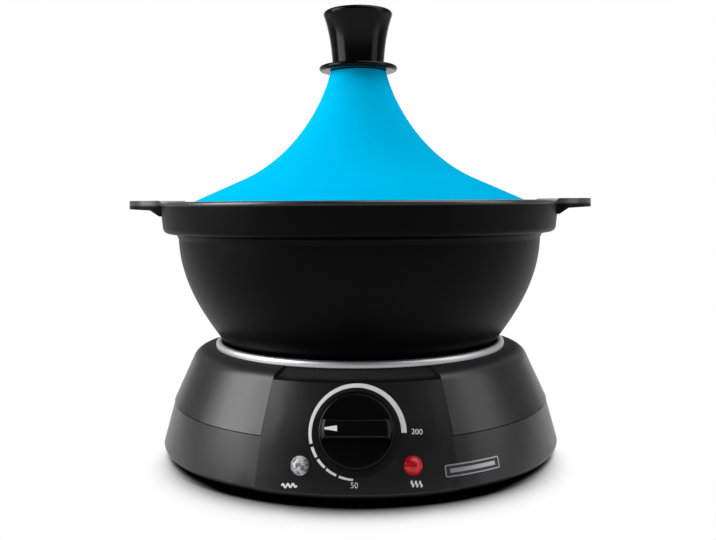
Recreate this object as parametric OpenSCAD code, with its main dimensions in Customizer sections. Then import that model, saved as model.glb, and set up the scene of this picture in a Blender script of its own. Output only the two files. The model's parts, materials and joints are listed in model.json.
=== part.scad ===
// Electric tagine: a heated base with a control panel, a lift-out cast pot and a lift-off cone lid.
// Millimetres. The origin is on the turning axis at table level, +Z is up and the front faces -Y.

/* [Feet and base plate] */
// Height of the rubber feet below the base plate
foot_h = 4; // [3:0.5:8]
// Diameter of a foot
foot_d = 16; // [12:1:20]
// Distance of a foot's centre in from the bottom edge
foot_inset = 16; // [15:0.2:30]
// Depth of the seat that a foot is set into
foot_seat = 1.2; // [0.8:0.1:1.6]
// Thickness of the base plate
base_plate_t = 3; // [2.5:0.1:4]
// Length of a cooling slot
vent_len = 20; // [10:1:24]
// Width of a cooling slot
vent_w = 3; // [2:0.5:4]
// Radius of the circle through the middle of the cooling slots
vent_circle_r = 70; // [60:1:80]
// Number of cooling slots
vent_count = 24; // [12:4:28]

/* [Lower housing] */
// Spread of the lower band from the seam to its bottom edge
band_draft = 8.1; // [6:0.1:10]
// Height of the lower band from its bottom edge to the seam
band_h = 33.2; // [32:0.1:35]
// Wall thickness of the lower housing
band_wall = 3; // [2.4:0.1:3.4]
// Rounding of the bottom edge
band_edge = 4.2; // [3.4:0.1:5]
// Height of the tongue that reaches up inside the upper housing
tongue_h = 4.5; // [3:0.5:6]
// Thickness of the tongue
tongue_t = 1.6; // [1.2:0.1:2]
// Distance of a housing screw in from the bottom edge
post_inset = 19.6; // [18.6:0.2:23]
// Diameter of a screw post
post_d = 10; // [9:0.5:11]
// Thickness of the lugs that the posts stand on
lug_t = 3; // [2.5:0.5:4]

/* [Control panel] */
// Half of the angle that the panel takes up
panel_half_angle = 25.3; // [23:0.1:28]
// Depth of the panel's top edge below the deck
panel_drop = 6; // [5.4:0.2:8]
// Height of the panel's face above the wrap beside it
panel_proud = 0.5; // [0.3:0.1:0.9]
// Wall thickness of the panel
panel_wall = 3.6; // [3.4:0.1:4]
// Depth of the dial's centre below the panel's top edge
dial_drop = 26.8; // [26:0.2:30]
// Diameter of the round seat cut for the dial
dial_seat_d = 49; // [47:0.5:51]
// Depth of that seat below the panel's face
dial_seat_depth = 1.9; // [1.7:0.1:2.2]
// Wall left behind the seat
dial_seat_wall = 3.6; // [3.4:0.1:4.4]
// Angle of each pilot light from the middle of the panel
lamp_angle = 13.8; // [13:0.1:15]
// Height of the pilot lights above the bottom edge
lamp_h = 19.2; // [16:0.1:21]
// Depth of the lens cup's collar, from the face to the nut
lamp_boss_t = 4.5; // [4:0.1:5.5]

/* [Upper housing] */
// Width of the seam between the two housings
seam_gap = 0.6; // [0.4:0.1:1]
// Reach of the wrap's lower edge beyond the ring's rebate
wrap_reach = 29.8; // [28:0.2:33]
// Overhang of the wrap's lower edge over the lower band
seam_lip = 0.2; // [0.1:0.1:0.5]
// Lean of the wrap from upright, in degrees
wrap_lean = 24.8; // [23.8:0.1:25.6]
// Wall thickness of the upper housing
wrap_wall = 2.6; // [2.2:0.1:2.8]
// Height of the deck above the bottom edge
base_h = 71.6; // [71:0.2:73]
// Slope of the deck towards the shoulder, in degrees
deck_slope = 9.7; // [8:0.1:11]
// Rounding of the shoulder
shoulder_round = 10; // [8:0.5:11]
// Width of the rebate that takes the ring
rebate_w = 4.6; // [4.2:0.1:5.4]
// Depth of that rebate below the deck
rebate_depth = 1.6; // [1.2:0.1:2]
// Gap between the pot's foot and the well that it stands in
well_gap = 2.4; // [2:0.1:3]

/* [Ring, dish and heating plate] */
// Width of the bright ring
ring_w = 5; // [4.6:0.1:5.4]
// Height of the bright ring
ring_h = 4.9; // [4:0.1:5.2]
// Thickness of the dish's sheet
dish_t = 0.8; // [0.6:0.1:1]
// Depth of the dish's floor below the heating plate's face
dish_depth = 18; // [17.5:0.1:20]
// Distance of the heating plate's edge in from the pot's foot
hot_plate_inset = 4.5; // [3:0.5:10]
// Thickness of the heating plate
hot_plate_t = 8; // [7:0.5:9]
// Depth of the heating plate's face below the deck
hot_plate_drop = 5.6; // [5:0.1:6.2]
// Radius of the heating element's loop
element_r = 70; // [66:0.5:74]
// Diameter of the heating element's tube
element_d = 7; // [6:0.1:7.4]
// Half of the angle between the element's two ends
element_end_angle = 20; // [18:1:26]
// Radius of the circle of the plate's screw bosses
plate_boss_circle_r = 45; // [42:0.5:48]
// Diameter of the tie bolt in the middle
tie_d = 5; // [4:0.5:6]

/* [Thermostat and dial] */
// Width and height of the thermostat's case
thermostat_w = 34; // [33:0.5:38]
// Depth of the thermostat's case
thermostat_depth = 24; // [22:0.5:26]
// Diameter of the thermostat's shaft
shaft_d = 6; // [5:0.5:6.5]
// Distance between the two thermostat screws
thermostat_screw_gap = 28; // [27:0.5:29]
// Diameter of the dial's skirt
dial_d = 45.5; // [43:0.5:46.5]
// Height of the dial's skirt
dial_skirt_h = 6; // [5:0.5:8]
// Height of the whole dial with its grip
dial_full_h = 15.5; // [14:0.5:18]
// Width of the dial's grip
grip_w = 11; // [9:0.5:14]
// Wall thickness of the dial
dial_wall = 2.4; // [2:0.1:2.8]
// Diameter of the capillary sensor
sensor_d = 5; // [4:0.5:5.5]
// Length of the capillary sensor
sensor_len = 50; // [44:1:52]

/* [Pilot lights] */
// Diameter of a lens
lens_d = 11.5; // [11:0.1:12.5]
// Height of the lens dome
lens_dome = 2.6; // [2:0.1:3.2]
// Diameter of the lens cup behind the panel
lens_cup_d = 9.4; // [9:0.1:9.8]
// Length of the lens cup behind the panel
lens_cup_len = 11; // [10:0.5:13]

/* [Cord entry] */
// Height of the cord entry above the bottom edge
gland_h = 15.5; // [14:0.5:16]
// Diameter of the bore for the cord
cord_bore_d = 7.4; // [6:0.1:8]
// Diameter of the gland's neck in the wall
gland_neck_d = 15; // [13:0.5:16]
// Length of the gland outside the wall
gland_nose = 6; // [4:0.5:9]

/* [Pot] */
// Height of the pot from its foot to its rim
pot_h = 110; // [107:0.5:116]
// Depth of the lid's ledge below the rim
ledge_drop = 18; // [16:0.5:20]
// Radius of the rim at its top
rim_r = 143.4; // [142:0.1:146]
// Inward taper of the rim band at its lower edge
rim_draft = 1.6; // [0.8:0.1:2]
// Rounding of the rim band's lower edge
rim_round = 4.2; // [3:0.1:4.4]
// Wall thickness of the pot
pot_wall = 4.2; // [3.8:0.1:4.6]
// Thickness of the rim round the lid
rim_t = 5.9; // [5.4:0.1:7]
// Width of the ledge that the lid stands on
ledge_w = 10.7; // [9.5:0.1:12.5]
// Depth below the ledge at which the bowl's curve starts to turn in
bowl_turn_drop = 9; // [8:0.5:11]
// Pull of the bowl's curve at its upper end
bowl_pull = 29; // [20:1:40]
// Pull of the bowl's curve at its lower end
bowl_low_pull = 25; // [15:1:30]
// Steepness of the bowl where it meets the foot, in degrees
bowl_low_angle = 53.8; // [48:0.2:58]
// Radius of the pot's foot
pot_foot_r = 99.5; // [97:0.5:100]
// Height of the pot's foot
pot_foot_h = 9; // [7:0.5:10]
// Thickness of the pot's floor
pot_floor_t = 5.5; // [4.5:0.5:7]
// Reach of the ear handles beyond the rim
ear_out = 25.6; // [22:0.2:30]
// Radius of an ear's round outline
ear_r = 42; // [38:1:48]
// Width of the bar outside an ear's finger slot
ear_bar = 11; // [9:0.5:13]
// Thickness of an ear at its tip
ear_tip_t = 6; // [5:0.5:8]
// Thickness of an ear at the rim
ear_root_t = 11; // [9:0.5:14]
// Rise of the ears above the rim
ear_rise = 1; // [0.5:0.1:2]

/* [Lid and its grip] */
// Height of the lid from its ledge to the top of its neck
lid_h = 111.4; // [106:0.2:120]
// Gap between the lid and the rim
lid_gap = 0.7; // [0.5:0.1:1.2]
// Height of the lid's upright edge
lid_skirt_h = 10.3; // [8:0.1:12]
// Wall thickness of the lid
lid_wall = 5; // [4:0.1:6]
// Radius of the lid's neck
neck_r = 20.4; // [19:0.2:23]
// Lean of the lid's neck from upright, in degrees
neck_lean = 13; // [9:0.5:16]
// Pull of the lid's curve at the neck
neck_pull = 22; // [16:1:30]
// Width of the straight brim of the lid
brim_w = 52.8; // [44:0.2:60]
// Slope of the brim, in degrees
brim_slope = 24.2; // [21:0.2:27]
// Pull of the lid's curve at the brim
brim_pull = 42; // [34:1:48]
// Thickness of the lid's crown under the grip
lid_crown_t = 8; // [6:0.5:10]
// Thickness of the gasket under the collar
gasket_t = 0.6; // [0.4:0.1:1]
// Radius of the collar
collar_r = 28.4; // [26:0.2:31]
// Thickness of the collar
collar_t = 3.8; // [3:0.1:5]
// Radius of the grip at its foot
grip_foot_r = 18.6; // [17:0.2:20]
// Radius of the grip at its top
grip_top_r = 25; // [23:0.2:28]
// Height of the grip
grip_h = 40.3; // [36:0.1:46]
// Diameter of the screw that holds the grip
lid_screw_d = 5; // [4:0.5:6]

/* [Fits] */
// Gap between shells that fit into each other
fit_gap = 0.4; // [0.3:0.05:0.5]
// Gap all round a screw or a pin in its hole
hole_gap = 0.15; // [0.1:0.05:0.25]
// Gap all round the shaft in its bush
shaft_gap = 0.05; // [0.02:0.01:0.1]

/* [Hidden] */
$fn = 96;

// Heights of the main levels, from the table up
z_base = foot_h;
z_floor_in = z_base + base_plate_t;
z_seam = z_base + band_h;
z_wrap = z_seam + seam_gap;
z_deck = z_base + base_h;
z_panel = z_deck - panel_drop;
z_rebate = z_deck - rebate_depth;
z_under = z_rebate - wrap_wall;
z_ring = z_rebate + dish_t;
z_hot = z_deck - hot_plate_drop;
z_hot_low = z_hot - hot_plate_t;
z_dish = z_hot - dish_depth;
z_dish_low = z_dish - dish_t;
z_rim = z_hot + pot_h;
z_ledge = z_rim - ledge_drop;
z_lid = z_ledge + lid_h;
z_collar = z_lid + gasket_t;
z_grip = z_collar + collar_t;

// Radii of the base, from the pot's foot out
well_r = pot_foot_r + well_gap;
rebate_r = well_r + rebate_w;
wrap_r = rebate_r + wrap_reach;
band_top_r = wrap_r - seam_lip;
base_r = band_top_r + band_draft;
foot_circle_r = base_r - foot_inset;
post_circle_r = base_r - post_inset;
hot_plate_r = pot_foot_r - hot_plate_inset;

// Radii of the pot, from the rim in
rim_in_r = rim_r - rim_t;
bowl_r = rim_in_r - ledge_w + pot_wall;
bowl_turn_z = z_ledge - bowl_turn_drop;
ear_reach = rim_r + ear_out;

// Slope of the band, and the depth below the seam at which its wall reaches its own thickness
band_lean = atan((base_r - band_top_r) / (band_h - band_edge));
band_in_drop = 5;

// The panel's face, which stands proud of the wrap and of the band, and the shelf behind its top edge
panel_foot_r = base_r + panel_proud;
panel_low_r = wrap_r + panel_proud;
panel_top_r = wrap_r - (z_panel - z_wrap) * tan(wrap_lean) + panel_proud;
panel_lean = atan((panel_low_r - panel_top_r) / (z_panel - z_seam));
lamp_lean = atan((panel_foot_r - panel_low_r) / (band_h - band_edge));
shelf_r = rebate_r + 1.2;
shelf_t = 2.6;
z_shelf = z_deck - 1;

// Shoulder: the centre of the round that touches both the wrap and the deck
wrap_n = [cos(wrap_lean), sin(wrap_lean)];
deck_n = [sin(deck_slope), cos(deck_slope)];
wrap_d = wrap_n * [wrap_r, z_wrap] - shoulder_round;
deck_d = deck_n * [rebate_r, z_deck] - shoulder_round;
shoulder_det = wrap_n.x * deck_n.y - wrap_n.y * deck_n.x;
shoulder_r = (wrap_d * deck_n.y - deck_d * wrap_n.y) / shoulder_det;
shoulder_z = (wrap_n.x * deck_d - deck_n.x * wrap_d) / shoulder_det;

// Shell of the wrap, measured level
wrap_wall_level = wrap_wall / cos(wrap_lean);

// Base plate, posts and screws
band_in_r = base_r - band_edge - 1.6;
base_plate_r = band_in_r - fit_gap;
post_angles = [45, 135, 225, 315];
post_bottom_z = z_floor_in + lug_t;
base_screw_d = 3.8;
base_screw_head_d = 7.6;
base_screw_head_h = 1.6;
base_screw_sink = base_screw_head_h + 0.2;
base_screw_len = 20;
nut_pocket_r = 8.5;
nut_pocket_h = 7;
nut_h = 4;
nut_across = 9.2;
z_nut = z_base + nut_pocket_h;

// Dish and heating plate
dish_r = well_r - fit_gap;
dish_flange_r = rebate_r - fit_gap;
ring_in_r = dish_flange_r - ring_w;
element_drop = 4;
element_z = z_hot_low - element_drop;
element_ends = [90 - element_end_angle, 90 + element_end_angle];
element_land = 7.5;
element_leg_d = 8.4;
element_leg_len = 14;
element_leg_bottom = element_z - element_leg_len;
element_pin_d = 4;
element_pin_len = 8;
bush_wall = 1.6;
bush_flange_r = element_leg_d / 2 + hole_gap + bush_wall + 2;
bush_r = element_leg_d / 2 + hole_gap + bush_wall;
bush_h = 2.5;
plate_boss_angles = [90, 210, 330];
plate_boss_d = 12;
plate_screw_d = 4;
plate_screw_head_d = 8;
plate_screw_head_h = 2.4;
plate_screw_reach = 8;
tie_boss_d = 18;
tie_reach = 14;
tie_sink = 1.5;

// Dial axis: outward along the panel's own normal
dial_z = z_panel - dial_drop;
dial_r = panel_low_r - (dial_z - z_seam) * tan(panel_lean);
dial_gap = 0.5;
dial_base = dial_gap - dial_seat_depth;
seat_back = -dial_seat_depth - dial_seat_wall;
thermostat_flange_t = 1.2;
thermostat_back = seat_back - thermostat_flange_t - thermostat_depth;
thermostat_h = 30;
thermostat_flange_h = 22;
thermostat_screw_d = 3.5;
thermostat_screw_head_d = 6;
thermostat_screw_head_h = 1.5;
thermostat_screw_reach = 8;
thermostat_screw_z = -dial_seat_depth - thermostat_screw_head_h - 0.2;
thermostat_screw_end = seat_back - thermostat_screw_reach;
bush_neck_d = 9.2;
shaft_inner_z = thermostat_back + 6;
shaft_outer_z = dial_base + 9;
shaft_flat = 1.4;
tab_size = [6.3, 0.8, 9];
tab_x = 8;
dial_face_z = dial_base + dial_skirt_h;

// Pilot lights: outward along the normal of the panel's lower part
lamp_z = z_base + lamp_h;
lamp_r = panel_foot_r - (lamp_z - z_base - band_edge) * tan(lamp_lean);
lens_sink = 0.3;
lens_flange_t = 0.8;
lens_wall = 1;
bulb_d = 6;
bulb_len = 15;
bulb_sink = 2;
lamp_nut_d = 16;
lamp_nut_t = 2.5;

// Cord entry
gland_z = z_base + gland_h;
gland_face_y = base_r - 0.3;
gland_boss_r = gland_neck_d / 2 + 3.2;
gland_flange_r = gland_neck_d / 2 + 2;
gland_flange_t = 2.2;
gland_len = 13;
gland_inner_y = gland_face_y - gland_len;
gland_collar_t = 4;

// Terminal block, sensor and fuse
block_size = [36, 18, 13];
block_inset = 47.6;
block_y = base_r - block_inset;
block_pitch = 10;
block_wire_z = z_floor_in + 6.5;
block_screw_d = 3.2;
block_screw_y = 4.5;
block_screw_z = block_wire_z + 3;
sensor_y = -32;
sensor_z = z_hot_low - sensor_d / 2 - 0.05;
clip_len = 6;
clip_extra_w = 5;
clip_extra_h = 2;
clip_x = 16;
fuse_at = [-34, 34];
fuse_d = 4.4;
fuse_len = 16;
fuse_z = z_dish_low - fuse_d / 2 - 0.05;
capillary_d = 1.6;
capillary_hole = [-41, -42.5];
capillary_hole_r = 3.6;
capillary_route = [[-40, -40, 56], [-42, -45, 48], [-41, -70, 44]];
lead_d = 2.6;
lead_gap = 0.3;
lead_out = 8;
lead_turn = 6;
capillary_in = [-thermostat_w / 2 - lead_gap, 8, -18];

// Points that the leads pass, chosen by hand to lie on the floor and under the dish
live_route = [[-24, -70, 17], [-44, -30, 15], [-40, 34, 14], [-14, 66, 13]];
switched_route = [[34, -50, 18], [46, 10, 20], [34, 52, 24]];
fuse_route = [[-40, 64, 27], [-56, 48, 36]];
return_route = [[-10, 44, 38], [-4, 60, 22]];
power_lamp_route = [[-52, -90, 11], [-70, -20, 11], [-30, 50, 10.5], [4, 66, 10.5]];
heat_lamp_route = [[30, -88, 14]];

// Lid
lid_r = rim_in_r - lid_gap;
lid_edge_round = 1.5;
brim_start = [lid_r - brim_w, z_ledge + lid_skirt_h + brim_w * tan(brim_slope)];
lid_crown_low = z_lid - lid_crown_t;
washer_r = 9;
washer_t = 1.5;
lid_screw_head_d = 9.6;
lid_screw_head_h = 3;
lid_screw_reach = 16;

// Points along an arc, a cubic curve, and a curve moved sideways by t to the left of its travel
function arc_points(c, r, a0, a1, n) = [
    for (i = [0:n])
        let (a = a0 + (a1 - a0) * i / n)
            c + r * [cos(a), sin(a)]
];
function curve_points(a, b, c, d, n) = [
    for (i = [0:n])
        let (t = i / n, s = 1 - t)
            s * s * s * a + 3 * s * s * t * b + 3 * s * t * t * c + t * t * t * d
];
function moved_points(p, t) = [
    for (i = [0:len(p) - 1])
        let (d = p[min(i + 1, len(p) - 1)] - p[max(i - 1, 0)])
            p[i] + t * [-d.y, d.x] / norm(d)
];
function flipped(p) = [for (i = [len(p) - 1:-1:0]) p[i]];

// A place on a circle about the axis
function around(r, a, z) = [r * cos(a), r * sin(a), z];

// A point given in the dial's own frame, as a point of the whole object
function from_dial(p) = [
    p.x,
    -dial_r + p.y * sin(panel_lean) - p.z * cos(panel_lean),
    dial_z + p.y * cos(panel_lean) + p.z * sin(panel_lean)
];

// A point on a pilot light's axis, at depth d behind its face
function behind_lamp(side, d) =
    let (r = lamp_r - d * cos(lamp_lean))
        [side * r * sin(lamp_angle), -r * cos(lamp_angle), lamp_z - d * sin(lamp_lean)];

// A smooth route through chosen points, and the steady sideways directions along it
function blended(a, b, c, d, t) =
    0.5 * (2 * b + (c - a) * t + (2 * a - 5 * b + 4 * c - d) * t * t + (3 * b - a - 3 * c + d) * t * t * t);
function smooth_route(p, n) = [
    for (i = [0:len(p) - 2])
        for (k = [0:n - 1])
            blended(p[max(i - 1, 0)], p[i], p[i + 1], p[min(i + 2, len(p) - 1)], k / n),
    p[len(p) - 1]
];
function unit(v) = v / norm(v);
function square_to(v, t) = unit(v - (v * t) * t);
function headings(p, first, last) = [
    unit(first),
    for (i = [1:len(p) - 2]) unit(p[i + 1] - p[i - 1]),
    unit(last)
];
function sideways(h) = [
    for (
        i = 0, s = square_to([0.3, 0.2, 0.9], h[0]);
        i < len(h);
        i = i + 1, s = square_to(s, h[min(i, len(h) - 1)])
    ) s
];

// A tube of diameter d along a route, with flat ends
module routed_tube(points, d, steps = 3, sides = 8) {
    end = len(points) - 1;
    p = smooth_route(points, steps);
    h = headings(p, points[1] - points[0], points[end] - points[end - 1]);
    s = sideways(h);
    rings = len(p);
    ring_points = [
        for (i = [0:rings - 1])
            for (k = [0:sides - 1])
                let (u = s[i], v = cross(h[i], s[i]), a = 360 * k / sides)
                    p[i] + d / 2 * (cos(a) * u + sin(a) * v)
    ];
    side_faces = [
        for (i = [0:rings - 2])
            for (k = [0:sides - 1])
                let (a = i * sides + k, b = i * sides + (k + 1) % sides)
                    each [[a, a + sides, b], [b, a + sides, b + sides]]
    ];
    ends = [
        for (k = [1:sides - 2]) each [
            [0, k, k + 1],
            [(rings - 1) * sides, (rings - 1) * sides + k + 1, (rings - 1) * sides + k]
        ]
    ];
    polyhedron(points = ring_points, faces = concat(side_faces, ends));
}

module ring_of(angles, r) {
    for (a = angles) rotate([0, 0, a]) translate([r, 0, 0]) rotate([0, 0, -a]) children();
}

// Local +Z is outward along the dial's axis, and local +Y is up the panel
module at_dial() {
    translate([0, -dial_r, dial_z]) rotate([90 - panel_lean, 0, 0]) children();
}

module at_lamp(side) {
    rotate([0, 0, side * lamp_angle])
        translate([0, -lamp_r, lamp_z])
            rotate([90 - lamp_lean, 0, 0]) children();
}

module panel_wedge(side_gap) {
    far = 2 * base_r;
    translate([0, side_gap / sin(panel_half_angle), 0])
        linear_extrude(z_deck + 2)
            polygon([
                [0, 0],
                [-far * sin(panel_half_angle), -far * cos(panel_half_angle)],
                [far * sin(panel_half_angle), -far * cos(panel_half_angle)]
            ]);
}

module feet() {
    color("#1c1c1c")
        ring_of([0, 90, 180, 270], foot_circle_r)
            rotate_extrude()
                polygon([
                    [0, 0], [foot_d / 2 - 1.5, 0], [foot_d / 2 - 0.5, 1],
                    [foot_d / 2, z_base + foot_seat], [0, z_base + foot_seat]
                ]);
}

module base_plate() {
    color("#2a2a2a")
        difference() {
            union() {
                translate([0, 0, z_base]) cylinder(r = base_plate_r, h = base_plate_t);
                translate([0, 0, z_base]) cylinder(r = nut_pocket_r + 3.5, h = nut_pocket_h + 3);
            }
            ring_of([0, 90, 180, 270], foot_circle_r)
                translate([0, 0, z_base - 1]) cylinder(r = foot_d / 2 + hole_gap, h = foot_seat + 1);
            ring_of(post_angles, post_circle_r) {
                translate([0, 0, z_base - 1])
                    cylinder(d = base_screw_head_d + 2 * fit_gap, h = base_screw_sink + 1);
                translate([0, 0, z_base])
                    cylinder(d = base_screw_d + 2 * hole_gap, h = base_plate_t + 1);
            }
            for (i = [0:vent_count - 1])
                rotate([0, 0, 360 * i / vent_count])
                    translate([vent_circle_r - vent_len / 2, -vent_w / 2, z_base - 1])
                        cube([vent_len, vent_w, base_plate_t + 2]);
            translate([0, 0, z_base - 1]) cylinder(r = nut_pocket_r, h = nut_pocket_h + 1);
            translate([0, 0, z_base]) cylinder(d = tie_d + 2 * hole_gap, h = nut_pocket_h + 4);
        }
}

module base_screws() {
    color("#9a9a9a")
        ring_of(post_angles, post_circle_r)
            translate([0, 0, z_base + 0.2]) {
                difference() {
                    cylinder(d = base_screw_head_d, h = base_screw_head_h);
                    translate([-2.4, -0.45, -1]) cube([4.8, 0.9, 1.9]);
                    translate([-0.45, -2.4, -1]) cube([0.9, 4.8, 1.9]);
                }
                cylinder(d = base_screw_d, h = base_screw_len);
            }
}

// The band all round, with the tongue that reaches up behind the wrap's lower edge, left out at the panel
module band_shell() {
    tongue_r = wrap_r - wrap_wall_level - fit_gap;
    tongue_top_r = tongue_r - (tongue_h - seam_gap) * tan(wrap_lean);
    band_in_top_r = band_top_r + band_in_drop * tan(band_lean) - band_wall;
    difference() {
        rotate_extrude()
            polygon(concat(
                arc_points([base_r - band_edge, z_base + band_edge], band_edge, -90, 0, 6),
                [
                    [band_top_r, z_seam], [tongue_r, z_seam], [tongue_top_r, z_seam + tongue_h],
                    [tongue_top_r - tongue_t, z_seam + tongue_h], [tongue_r - tongue_t, z_seam - 1],
                    [band_in_top_r, z_seam - band_in_drop], [base_r - band_wall, z_base + band_edge],
                    [band_in_r, z_floor_in + 0.2], [band_in_r, z_base]
                ]
            ));
        intersection() {
            panel_wedge(-0.6);
            translate([0, 0, z_seam - 4.5]) cylinder(r = panel_low_r - panel_wall + 1.2, h = tongue_h + 6);
        }
    }
}

// The control panel: a sector of wall from the bottom edge up, with a shelf back to the ring's rebate
module panel_shell() {
    rotate([0, 0, -90 - panel_half_angle])
        rotate_extrude(angle = 2 * panel_half_angle)
            polygon(concat(
                arc_points([base_r - band_edge, z_base + band_edge], band_edge + panel_proud, -60, 0, 5),
                [
                    [panel_low_r, z_seam], [panel_top_r, z_panel], [shelf_r, z_shelf],
                    [shelf_r, z_shelf - shelf_t], [panel_top_r - panel_wall, z_panel - shelf_t],
                    [panel_low_r - panel_wall, z_seam], [base_r - band_wall + 0.5, z_base + band_edge],
                    [base_r - band_edge + 1, z_base + 1]
                ]
            ));
}

// A lug inside the band: it carries a post of the upper housing and the base plate
module post_lug() {
    reach = base_r - post_circle_r - band_wall / 2 - 0.6;
    translate([0, 0, z_floor_in])
        linear_extrude(lug_t) {
            circle(d = post_d + 2);
            translate([0, 1 - post_d / 2]) square([reach, post_d - 2]);
        }
}

module lower_housing() {
    color("#262626")
        difference() {
            union() {
                band_shell();
                panel_shell();
                for (a = post_angles) rotate([0, 0, a]) translate([post_circle_r, 0, 0]) post_lug();
                at_dial()
                    translate([0, 0, seat_back]) cylinder(d = dial_seat_d + 4, h = dial_seat_wall - 1);
                for (side = [-1, 1])
                    at_lamp(side)
                        translate([0, 0, -lamp_boss_t]) cylinder(d = lamp_nut_d + 1, h = lamp_boss_t - 1.2);
                translate([0, gland_inner_y, gland_z])
                    rotate([-90, 0, 0]) cylinder(r = gland_boss_r, h = gland_len);
            }
            at_dial() {
                translate([0, 0, -dial_seat_depth]) cylinder(d = dial_seat_d, h = 10);
                translate([0, 0, seat_back - 1]) cylinder(d = bush_neck_d + 2 * fit_gap, h = 10);
                for (side = [-1, 1])
                    translate([side * thermostat_screw_gap / 2, 0, 0]) {
                        translate([0, 0, thermostat_screw_z])
                            cylinder(d = thermostat_screw_head_d + 2 * fit_gap, h = 5);
                        translate([0, 0, seat_back - 1])
                            cylinder(d = thermostat_screw_d + 2 * hole_gap, h = 8);
                    }
            }
            for (side = [-1, 1])
                at_lamp(side) {
                    translate([0, 0, -lens_sink]) cylinder(d = lens_d + 2 * hole_gap, h = 4);
                    translate([0, 0, -lamp_boss_t - 4])
                        cylinder(d = lens_cup_d + 2 * hole_gap, h = lamp_boss_t + 6);
                }
            translate([0, gland_inner_y - 1, gland_z])
                rotate([-90, 0, 0]) cylinder(d = gland_neck_d + 2 * hole_gap, h = gland_len + 2);
            ring_of(post_angles, post_circle_r)
                translate([0, 0, z_floor_in - 1]) cylinder(d = base_screw_d + 2 * hole_gap, h = lug_t + 2);
        }
}

// Outline of the shoulder and the wrap, from the deck down to the seam
function wrap_outline() = concat(
    [[rebate_r, z_deck]],
    arc_points([shoulder_r, shoulder_z], shoulder_round, 90 - deck_slope, wrap_lean, 10),
    [[wrap_r, z_wrap]]
);

module wrap_posts() {
    intersection() {
        ring_of(post_angles, post_circle_r)
            translate([0, 0, post_bottom_z]) cylinder(d = post_d, h = z_deck - post_bottom_z);
        rotate_extrude()
            polygon(concat(
                [[0, z_deck - 2]],
                moved_points(wrap_outline(), -1),
                [[wrap_r - 1, post_bottom_z], [0, post_bottom_z]]
            ));
    }
}

module upper_housing() {
    inner_round = shoulder_round - wrap_wall;
    inner_start = asin(min(0.98, (z_under - shoulder_z) / inner_round));
    color("#2e2e2e")
        difference() {
            union() {
                rotate_extrude()
                    polygon(concat(
                        [[well_r, z_rebate], [rebate_r, z_rebate]],
                        wrap_outline(),
                        [[wrap_r - wrap_wall_level, z_wrap]],
                        arc_points([shoulder_r, shoulder_z], inner_round, wrap_lean, inner_start, 8),
                        [[well_r, z_under]]
                    ));
                wrap_posts();
            }
            intersection() {
                panel_wedge(fit_gap);
                translate([0, 0, z_wrap - 5])
                    difference() {
                        cylinder(r = base_r, h = z_deck - z_wrap + 6);
                        translate([0, 0, -1]) cylinder(r = shelf_r - fit_gap, h = z_deck - z_wrap + 8);
                    }
            }
            ring_of(post_angles, post_circle_r)
                translate([0, 0, post_bottom_z - 1])
                    cylinder(d = base_screw_d + 2 * hole_gap, h = base_screw_len);
        }
}

module trim_ring() {
    tip = ring_w / 2;
    color("#d8d8d8")
        rotate_extrude()
            polygon(concat(
                [[ring_in_r, z_ring], [dish_flange_r, z_ring]],
                arc_points([ring_in_r + tip, z_ring + ring_h - tip], tip, 0, 180, 14)
            ));
}

module heat_shield() {
    color("#b5b5b0")
        difference() {
            rotate_extrude()
                polygon([
                    [0, z_dish_low], [dish_r - 1.5, z_dish_low], [dish_r, z_dish_low + 1.5],
                    [dish_r, z_rebate], [dish_flange_r, z_rebate], [dish_flange_r, z_ring],
                    [dish_r - dish_t, z_ring], [dish_r - dish_t, z_dish + 1.2],
                    [dish_r - dish_t - 1.2, z_dish], [0, z_dish]
                ]);
            translate([0, 0, z_dish_low - 1]) {
                cylinder(d = tie_d + 2 * fit_gap, h = 4);
                ring_of(plate_boss_angles, plate_boss_circle_r)
                    cylinder(d = plate_screw_d + 2 * hole_gap, h = 4);
                ring_of(element_ends, element_r) cylinder(r = bush_r + hole_gap, h = 4);
                translate(capillary_hole) cylinder(r = capillary_hole_r, h = 4);
            }
        }
}

module heating_plate() {
    groove_w = 2;
    groove_depth = 0.6;
    boss_h = z_hot_low - z_dish + 1;
    color("#6e6e6c")
        difference() {
            union() {
                rotate_extrude()
                    polygon([
                        [0, z_hot_low], [element_r - element_land, z_hot_low],
                        [element_r - element_land, element_z], [element_r + element_land, element_z],
                        [element_r + element_land, z_hot_low], [hot_plate_r - 2, z_hot_low],
                        [hot_plate_r, z_hot_low + 2], [hot_plate_r, z_hot - 1],
                        [hot_plate_r - 1, z_hot], [0, z_hot]
                    ]);
                translate([0, 0, z_dish]) {
                    cylinder(d = tie_boss_d, h = boss_h);
                    ring_of(plate_boss_angles, plate_boss_circle_r) cylinder(d = plate_boss_d, h = boss_h);
                }
            }
            rotate_extrude() translate([element_r, element_z]) circle(d = element_d + 2 * hole_gap);
            ring_of(element_ends, element_r)
                translate([0, 0, element_z - 1])
                    cylinder(d = element_leg_d + 2 * hole_gap, h = z_hot_low - element_z + 1);
            for (inset = [15, 35, 55])
                rotate_extrude()
                    translate([hot_plate_r - inset - groove_w / 2, z_hot - groove_depth])
                        square([groove_w, 2 * groove_depth]);
            translate([0, 0, z_dish - 1]) {
                cylinder(d = tie_d + 2 * hole_gap, h = tie_reach + 1.4);
                ring_of(plate_boss_angles, plate_boss_circle_r)
                    cylinder(d = plate_screw_d + 2 * hole_gap, h = plate_screw_reach + 2);
            }
        }
}

module plate_screws() {
    color("#9a9a9a")
        ring_of(plate_boss_angles, plate_boss_circle_r) {
            translate([0, 0, z_dish_low - plate_screw_head_h])
                cylinder(d = plate_screw_head_d, h = plate_screw_head_h, $fn = 6);
            translate([0, 0, z_dish_low - 1]) cylinder(d = plate_screw_d, h = plate_screw_reach + 1);
        }
}

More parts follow.
